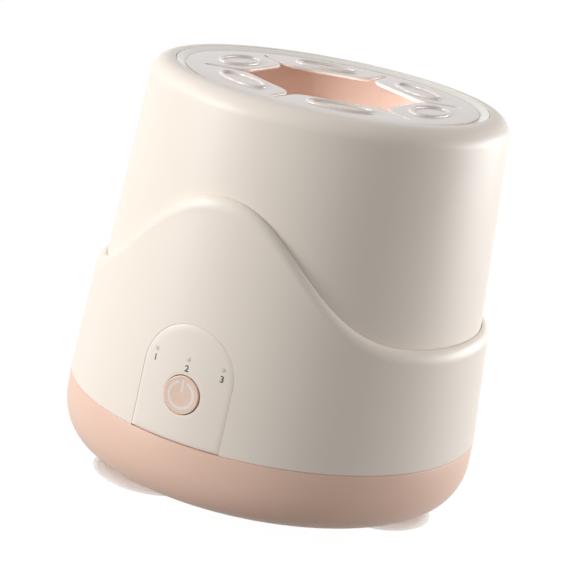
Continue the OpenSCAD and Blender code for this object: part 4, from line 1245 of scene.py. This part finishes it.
@dataclass
class GripDisc:
    """Silicone disc whose six petals part to let the bottle through."""

    shells: Shells
    web_r: float = 43.6
    step_r: float = 49.07
    step_edge: float = 0.3
    flange_r: float = 51.12
    mouth_w: float = 51.6
    slit_w: float = 1.8
    slit_end: float = 43.5
    slit_point: float = 2.4
    corner_r: float = 7.5
    oval: Point = (10.4, 5.3)
    oval_at: float = 35.4
    bead_w: float = 1.5
    bead_h: float = 0.7
    edge: float = 0.6
    bend: Point = (37.2, 27.0)
    angles: tuple[int, ...] = (30, 90, 150, 210, 270, 330)

    def build(self) -> None:
        """Builds the web and the petals."""
        s, soft = self.shells, self.step_edge
        margin = s.disc_z + s.margin_t
        section = [(self.web_r, s.disc_z), (self.flange_r, s.disc_z), (self.flange_r, margin),
                   (self.step_r, margin),
                   *arc((self.step_r - soft, s.disc_top - soft), (soft, soft), 0, 90, 5),
                   (self.web_r, s.disc_top)]
        web = lathe("grip_web", section, GREY_SILICONE, 240)
        place(web, Body.HEAD, Slot.GREY_SILICONE, "grip_ring")
        for number, angle in enumerate(self.angles, 1):
            self.petal(number, math.radians(angle))

    def outline(self) -> list[Triple]:
        """Outline of a petal that points along +Y from the spindle.

        Returns:
            For each point its place across and along, and the rounding of the edge there.
        """
        half = math.radians(180 / len(self.angles))
        along = Vector((math.sin(half), math.cos(half)))
        inward = Vector((-math.cos(half), math.sin(half)))
        side, tip_y = self.slit_w / 2, self.mouth_w / 2
        tip = along * ((tip_y - side * inward.y) / along.y) + inward * side
        end = along * (self.slit_end - self.slit_point) + inward * side
        rounding = rounded([(end.x, end.y, 0), (tip.x, tip.y, self.corner_r), (0.0, tip_y, 0)],
                           16)[1:-1]
        turns = [half * i / 28 for i in range(28)]
        right = [(self.web_r * math.sin(turn), self.web_r * math.cos(turn), 0.0) for turn in turns]
        right.append((*(along * self.web_r), 0.0))
        for k in range(9):
            # The slit runs to a point. A round end would bulge out of sight of the oval and fold
            # the faces along the rays.
            share = k / 8
            spot = along * (self.slit_end - self.slit_point * share)
            spot += inward * (side * share * (2 - share))
            right.append((spot.x, spot.y, self.edge * min(1.0, share * 2)))
        corner, (stop_x, stop_y) = Vector(rounding[0]), rounding[-1]
        right += [(*end.lerp(corner, i / 20), self.edge) for i in range(1, 20)]
        right += [(x, y, self.edge) for x, y in rounding]
        right += [(stop_x * (1 - i / 12), stop_y, self.edge) for i in range(1, 13)]
        return right + [(-x, y, e) for x, y, e in reversed(right[1:-1])]

    def ring(self, outline: list[Triple], height: float, share: float = 1.0, out: float = 0.0,
             reach: float = 0.0, inset: float = 0.0, lift: float = 0.0) -> list[Vector]:
        """Ring of points, one on each ray from the oval's middle to the outline.

        Args:
            outline: The petal's outline.
            height: Height of the ring.
            share: Size as a share of the oval.
            out: Distance outwards from there.
            reach: How far the ring lies from the oval to the outline, from 0 to 1.
            inset: Share of the edge's rounding that the outline is drawn in by.
            lift: Share of the edge's rounding that is added to the height.

        Returns:
            The points.
        """
        middle = Vector((0.0, self.oval_at))
        wide, deep = self.oval
        ring = []
        for x, y, edge in outline:
            ray = Vector((x, y)) - middle
            turn = math.atan2(ray.y / deep, ray.x / wide)
            across = Vector((math.cos(turn) / wide, math.sin(turn) / deep)).normalized()
            spot = Vector((wide * math.cos(turn), deep * math.sin(turn))) * share + across * out
            spot = spot.lerp(ray * (1 - edge * inset / ray.length), reach) + middle
            ring.append(Vector((spot.x, spot.y, height + edge * lift)))
        return ring

    def petal(self, number: int, angle: float) -> None:
        """Builds one petal.

        Args:
            number: The petal's number.
            angle: Its place, from the front towards +X.
        """
        ring = partial(self.ring, self.outline())
        top, low, bead = self.shells.disc_top, self.shells.disc_z, self.bead_w / 2
        humps = [math.pi * (1 - k / 10) for k in range(11)]
        edges = ((1.0, 0.0), (0.62, -0.07), (0.3, -0.29), (0.07, -0.62), (0.0, -1.0))
        loops = [
            *[ring(top, share) for share in (0.03, 0.2, 0.4, 0.6, 0.76)],
            *[ring(top + self.bead_h * math.sin(a), out=bead * math.cos(a)) for a in humps],
            *[ring(top, out=bead, reach=reach, inset=1.0) for reach in (0.25, 0.5, 0.75)],
            *[ring(top, reach=1.0, inset=inset, lift=lift) for inset, lift in edges],
            ring(low, reach=1.0, lift=0.5),
            *[ring(low, reach=reach, inset=0.5) for reach in (1.0, 0.66, 0.33)],
            *[ring(low, share) for share in (1.0, 0.76, 0.52, 0.28, 0.03)]]
        turn = Matrix.Rotation(math.pi + angle, 4, "Z")
        petal = loft(f"grip_petal_{number}", [[turn @ p for p in loop] for loop in loops],
                     GREY_SILICONE, False)
        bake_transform(petal)
        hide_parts(f"petal_{number}")
        LOG.info("%s bends from head to petal_%d", petal.name, number)


@dataclass
class BottleCup:
    """Pink cup under the disc, and the soft pad on its floor."""

    shells: Shells
    diameter: float = 91.95
    wall: float = 2.0
    slope: float = math.tan(math.radians(1.5))
    low: float = 58.7
    floor: float = 61.2
    fillet: float = 4.0
    flange_t: float = 2.4
    flange_r: float = 51.12
    flange_gap: float = 0.01
    mouth_edge: Point = (0.4, 0.1)
    pad_t: float = 1.5
    pad_gap: float = 0.2
    pad_edge: float = 0.3
    groove: Triple = (8.0, 1.2, 0.4)
    groove_slope: float = 0.2

    def inner_r(self, z: float) -> float:
        """Inner radius at a height."""
        return self.diameter / 2 - self.slope * (self.shells.disc_z - z)

    def build(self) -> None:
        """Builds the cup and the pad."""
        top, low, floor, fillet = self.shells.disc_z, self.low, self.floor, self.fillet
        low_r = self.inner_r(low) + self.wall
        floor_r, top_r = self.inner_r(floor), self.inner_r(top)
        big, flange_z, rim_z = fillet + 1, top - self.flange_t, top - self.flange_gap
        edge, soft = self.mouth_edge
        cup = [(0.0, low), *arc((low_r - big, low + big), (big, big), -90, 0, 10),
               (self.inner_r(flange_z) + self.wall, flange_z), (self.flange_r, flange_z),
               (self.flange_r, rim_z), (top_r + edge, rim_z), (top_r + soft, top - soft),
               (top_r, top - edge),
               *arc((floor_r - fillet, floor + fillet), (fillet, fillet), 0, -90, 10),
               (0.0, floor)]
        # The cup's pink is painted paler, as painted light in its shaded hollow
        liner = lathe("cup_liner", cup, CUP_ABS_PAINTED_PALER, 224)
        place(liner, Body.HEAD, Slot.PINK, "bottle_cup")
        pad_r = floor_r - fillet - self.pad_gap
        pitch, wide, deep = self.groove
        face, tilt = floor + self.pad_t, self.groove_slope
        section: Profile = [(0.0, floor), (pad_r, floor), (pad_r, face - self.pad_edge),
                            (pad_r - self.pad_edge, face)]
        for k in range(int((pad_r - pitch / 2) / pitch), 0, -1):
            r = k * pitch
            section += [(r + wide, face), (r + wide - tilt, face - deep), (r + tilt, face - deep),
                        (r, face)]
        section.append((0.0, face))
        pad = lathe("cup_floor_pad", section, GREY_SILICONE, 128)
        place(pad, Body.HEAD, Slot.GREY_SILICONE, "cup_pad")


@dataclass
class Mechanism:
    """Finishes of the CAD pieces that stay as they are."""

    finishes: dict[Slot, Finish] = field(default_factory=lambda: {
        Slot.CREAM: CREAM_ABS, Slot.PINK: PINK_ABS, Slot.GREY_SILICONE: GREY_SILICONE,
        Slot.CLEAR_SILICONE: CLEAR_SILICONE, Slot.STEEL: STEEL, Slot.BRONZE: SINTERED_BRONZE,
        Slot.ACETAL: ACETAL, Slot.NYLON: NYLON, Slot.BOARD: BOARD, Slot.WRAP: WRAP,
        Slot.LAMP: LAMP, Slot.ACRYLIC: ACRYLIC})

    def build(self) -> None:
        """Dresses each CAD node by its slot in the record."""
        for entry in frame["record"]["subparts"]:
            thing = frame["nodes"][entry["node"]]
            finish = self.finishes[Slot(entry["material_slot"])]
            for slot in thing.material_slots:
                slot.material = finish.build()
            if not thing.material_slots:
                thing.data.materials.append(finish.build())
            LOG.info("%s is dressed in %s", entry["node"], finish.name)


@dataclass(frozen=True)
class Lamp:
    """A soft rectangular lamp that faces the spindle.

    It stands at a turn from the front towards +X and a rise above the horizon, both in degrees,
    at a distance in metres from the height on the spindle that it aims at. Its size is in metres
    and its power in watts.
    """

    name: str
    turn: float
    rise: float
    distance: float
    size: Point
    power: float
    aim: float = 0.07

    def build(self) -> None:
        """Adds the lamp, unseen by the camera."""
        flat, up = math.radians(self.turn), math.radians(self.rise)
        spot = Vector((math.sin(flat) * math.cos(up), -math.cos(flat) * math.cos(up),
                       math.sin(up))) * self.distance
        spot.z += self.aim
        data = bpy.data.lights.new(self.name, "AREA")
        data.shape = "RECTANGLE"
        data.size, data.size_y = self.size
        data.energy = self.power
        thing = linked(self.name, data)
        thing.location = spot
        line = Vector((0, 0, self.aim)) - spot
        thing.rotation_euler = line.to_track_quat("-Z", "Y").to_euler()
        thing.visible_camera = False


@dataclass
class Studio:
    """White studio: camera, soft lamps, floor and surroundings."""

    eye: Triple = (265.5, -588.0, 245.9)
    aim: Triple = (0.0, 0.0, 75.0)
    roll: float = 10.864
    sensor: float = 36.0
    focal_px: float = 1978.2
    frame_px: float = 576.0
    middle_px: Point = (299.7, 260.5)
    floor_size: float = 4.0
    world_light: float = 0.41
    paper_colour: str = "9a9793"
    paper_glow: float = 1.17
    glow_share: float = 0.84
    lamps: tuple[Lamp, ...] = (
        Lamp("key_left", -45, 15, 1.1, (0.34, 0.44), 7.7),
        Lamp("strip_left", -80, 25, 1.1, (0.08, 0.5), 1.1),
        Lamp("rim_right", 138, 3, 1.0, (0.8, 0.42), 9.0),
        # A small lamp inside the head, which lights the cup's wall
        Lamp("cup_fill", -62, -20, 0.002, (0.03, 0.02), 0.0195, aim=0.115))

    def camera(self) -> None:
        """Adds the camera at the photograph's place."""
        data = bpy.data.cameras.new("studio_camera")
        data.sensor_width = self.sensor
        data.sensor_fit = "HORIZONTAL"
        data.lens = self.sensor * self.focal_px / self.frame_px
        data.shift_x = (self.frame_px / 2 - self.middle_px[0]) / self.frame_px
        data.shift_y = (self.middle_px[1] - self.frame_px / 2) / self.frame_px
        data.clip_start = 0.05
        thing = linked("studio_camera", data)
        eye, aim = Vector(self.eye) * MM, Vector(self.aim) * MM
        look = (aim - eye).to_track_quat("-Z", "Y").to_matrix().to_4x4()
        roll = Matrix.Rotation(math.radians(self.roll), 4, "Z")
        thing.matrix_world = Matrix.Translation(eye) @ look @ roll
        bpy.context.scene.camera = thing

    def surroundings(self) -> None:
        """Adds the floor and a world that is white to the eye and dimmer as a light."""
        bpy.context.scene.view_settings.view_transform = "Standard"
        world = bpy.data.worlds.new("studio_world")
        bpy.context.scene.world = world
        tree = empty_tree(world)
        strength = add(tree, "ShaderNodeMapRange", {
            "Value": seen_directly(tree), "To Min": self.world_light, "To Max": 1.0})
        light = add(tree, "ShaderNodeBackground", {
            "Color": linear("ffffff"), "Strength": strength.outputs[0]})
        add(tree, "ShaderNodeOutputWorld", {"Surface": light.outputs[0]})
        half = self.floor_size / 2
        data = bpy.data.meshes.new("studio_floor")
        data.from_pydata([(x * half, y * half, 0) for x, y in ((-1, -1), (1, -1), (1, 1), (-1, 1))],
                         [], [(0, 1, 2, 3)])
        data.materials.append(self.floor_paper())
        floor = linked("studio_floor", data)

    def floor_paper(self) -> bpy.types.Material:
        """Makes matt white paper that stays white to the camera and keeps a faint shadow.

        Returns:
            The material.
        """
        paper = bpy.data.materials.new("white_studio_paper")
        tree = empty_tree(paper)
        share = add(tree, "ShaderNodeMath", {0: seen_directly(tree), 1: self.glow_share},
                    operation="MULTIPLY")
        matt = add(tree, "ShaderNodeBsdfDiffuse", {"Color": linear(self.paper_colour)})
        glow = add(tree, "ShaderNodeEmission", {
            "Color": linear("ffffff"), "Strength": self.paper_glow})
        mix = add(tree, "ShaderNodeMixShader", {
            0: share.outputs[0], 1: matt.outputs[0], 2: glow.outputs[0]})
        add(tree, "ShaderNodeOutputMaterial", {"Surface": mix.outputs[0]})
        return paper

    def build(self) -> None:
        """Builds the whole studio."""
        self.camera()
        self.surroundings()
        for lamp in self.lamps:
            lamp.build()


def main() -> None:
    """Builds every sub-assembly in order."""
    logging.basicConfig(level=logging.INFO, format="%(message)s")
    Studio().build()
    shells = Shells()
    copies = CopiesRound()
    Mechanism().build()
    BasePan(shells, copies).build()
    panel = ControlPanel(shells, copies)
    LowerShell(shells, WaveWall()).build(panel.recess())
    panel.build()
    PowerButton(shells).build()
    HeadShell(shells).build()
    GripDisc(shells).build()
    BottleCup(shells).build()


if __name__ == "__main__":
    main()
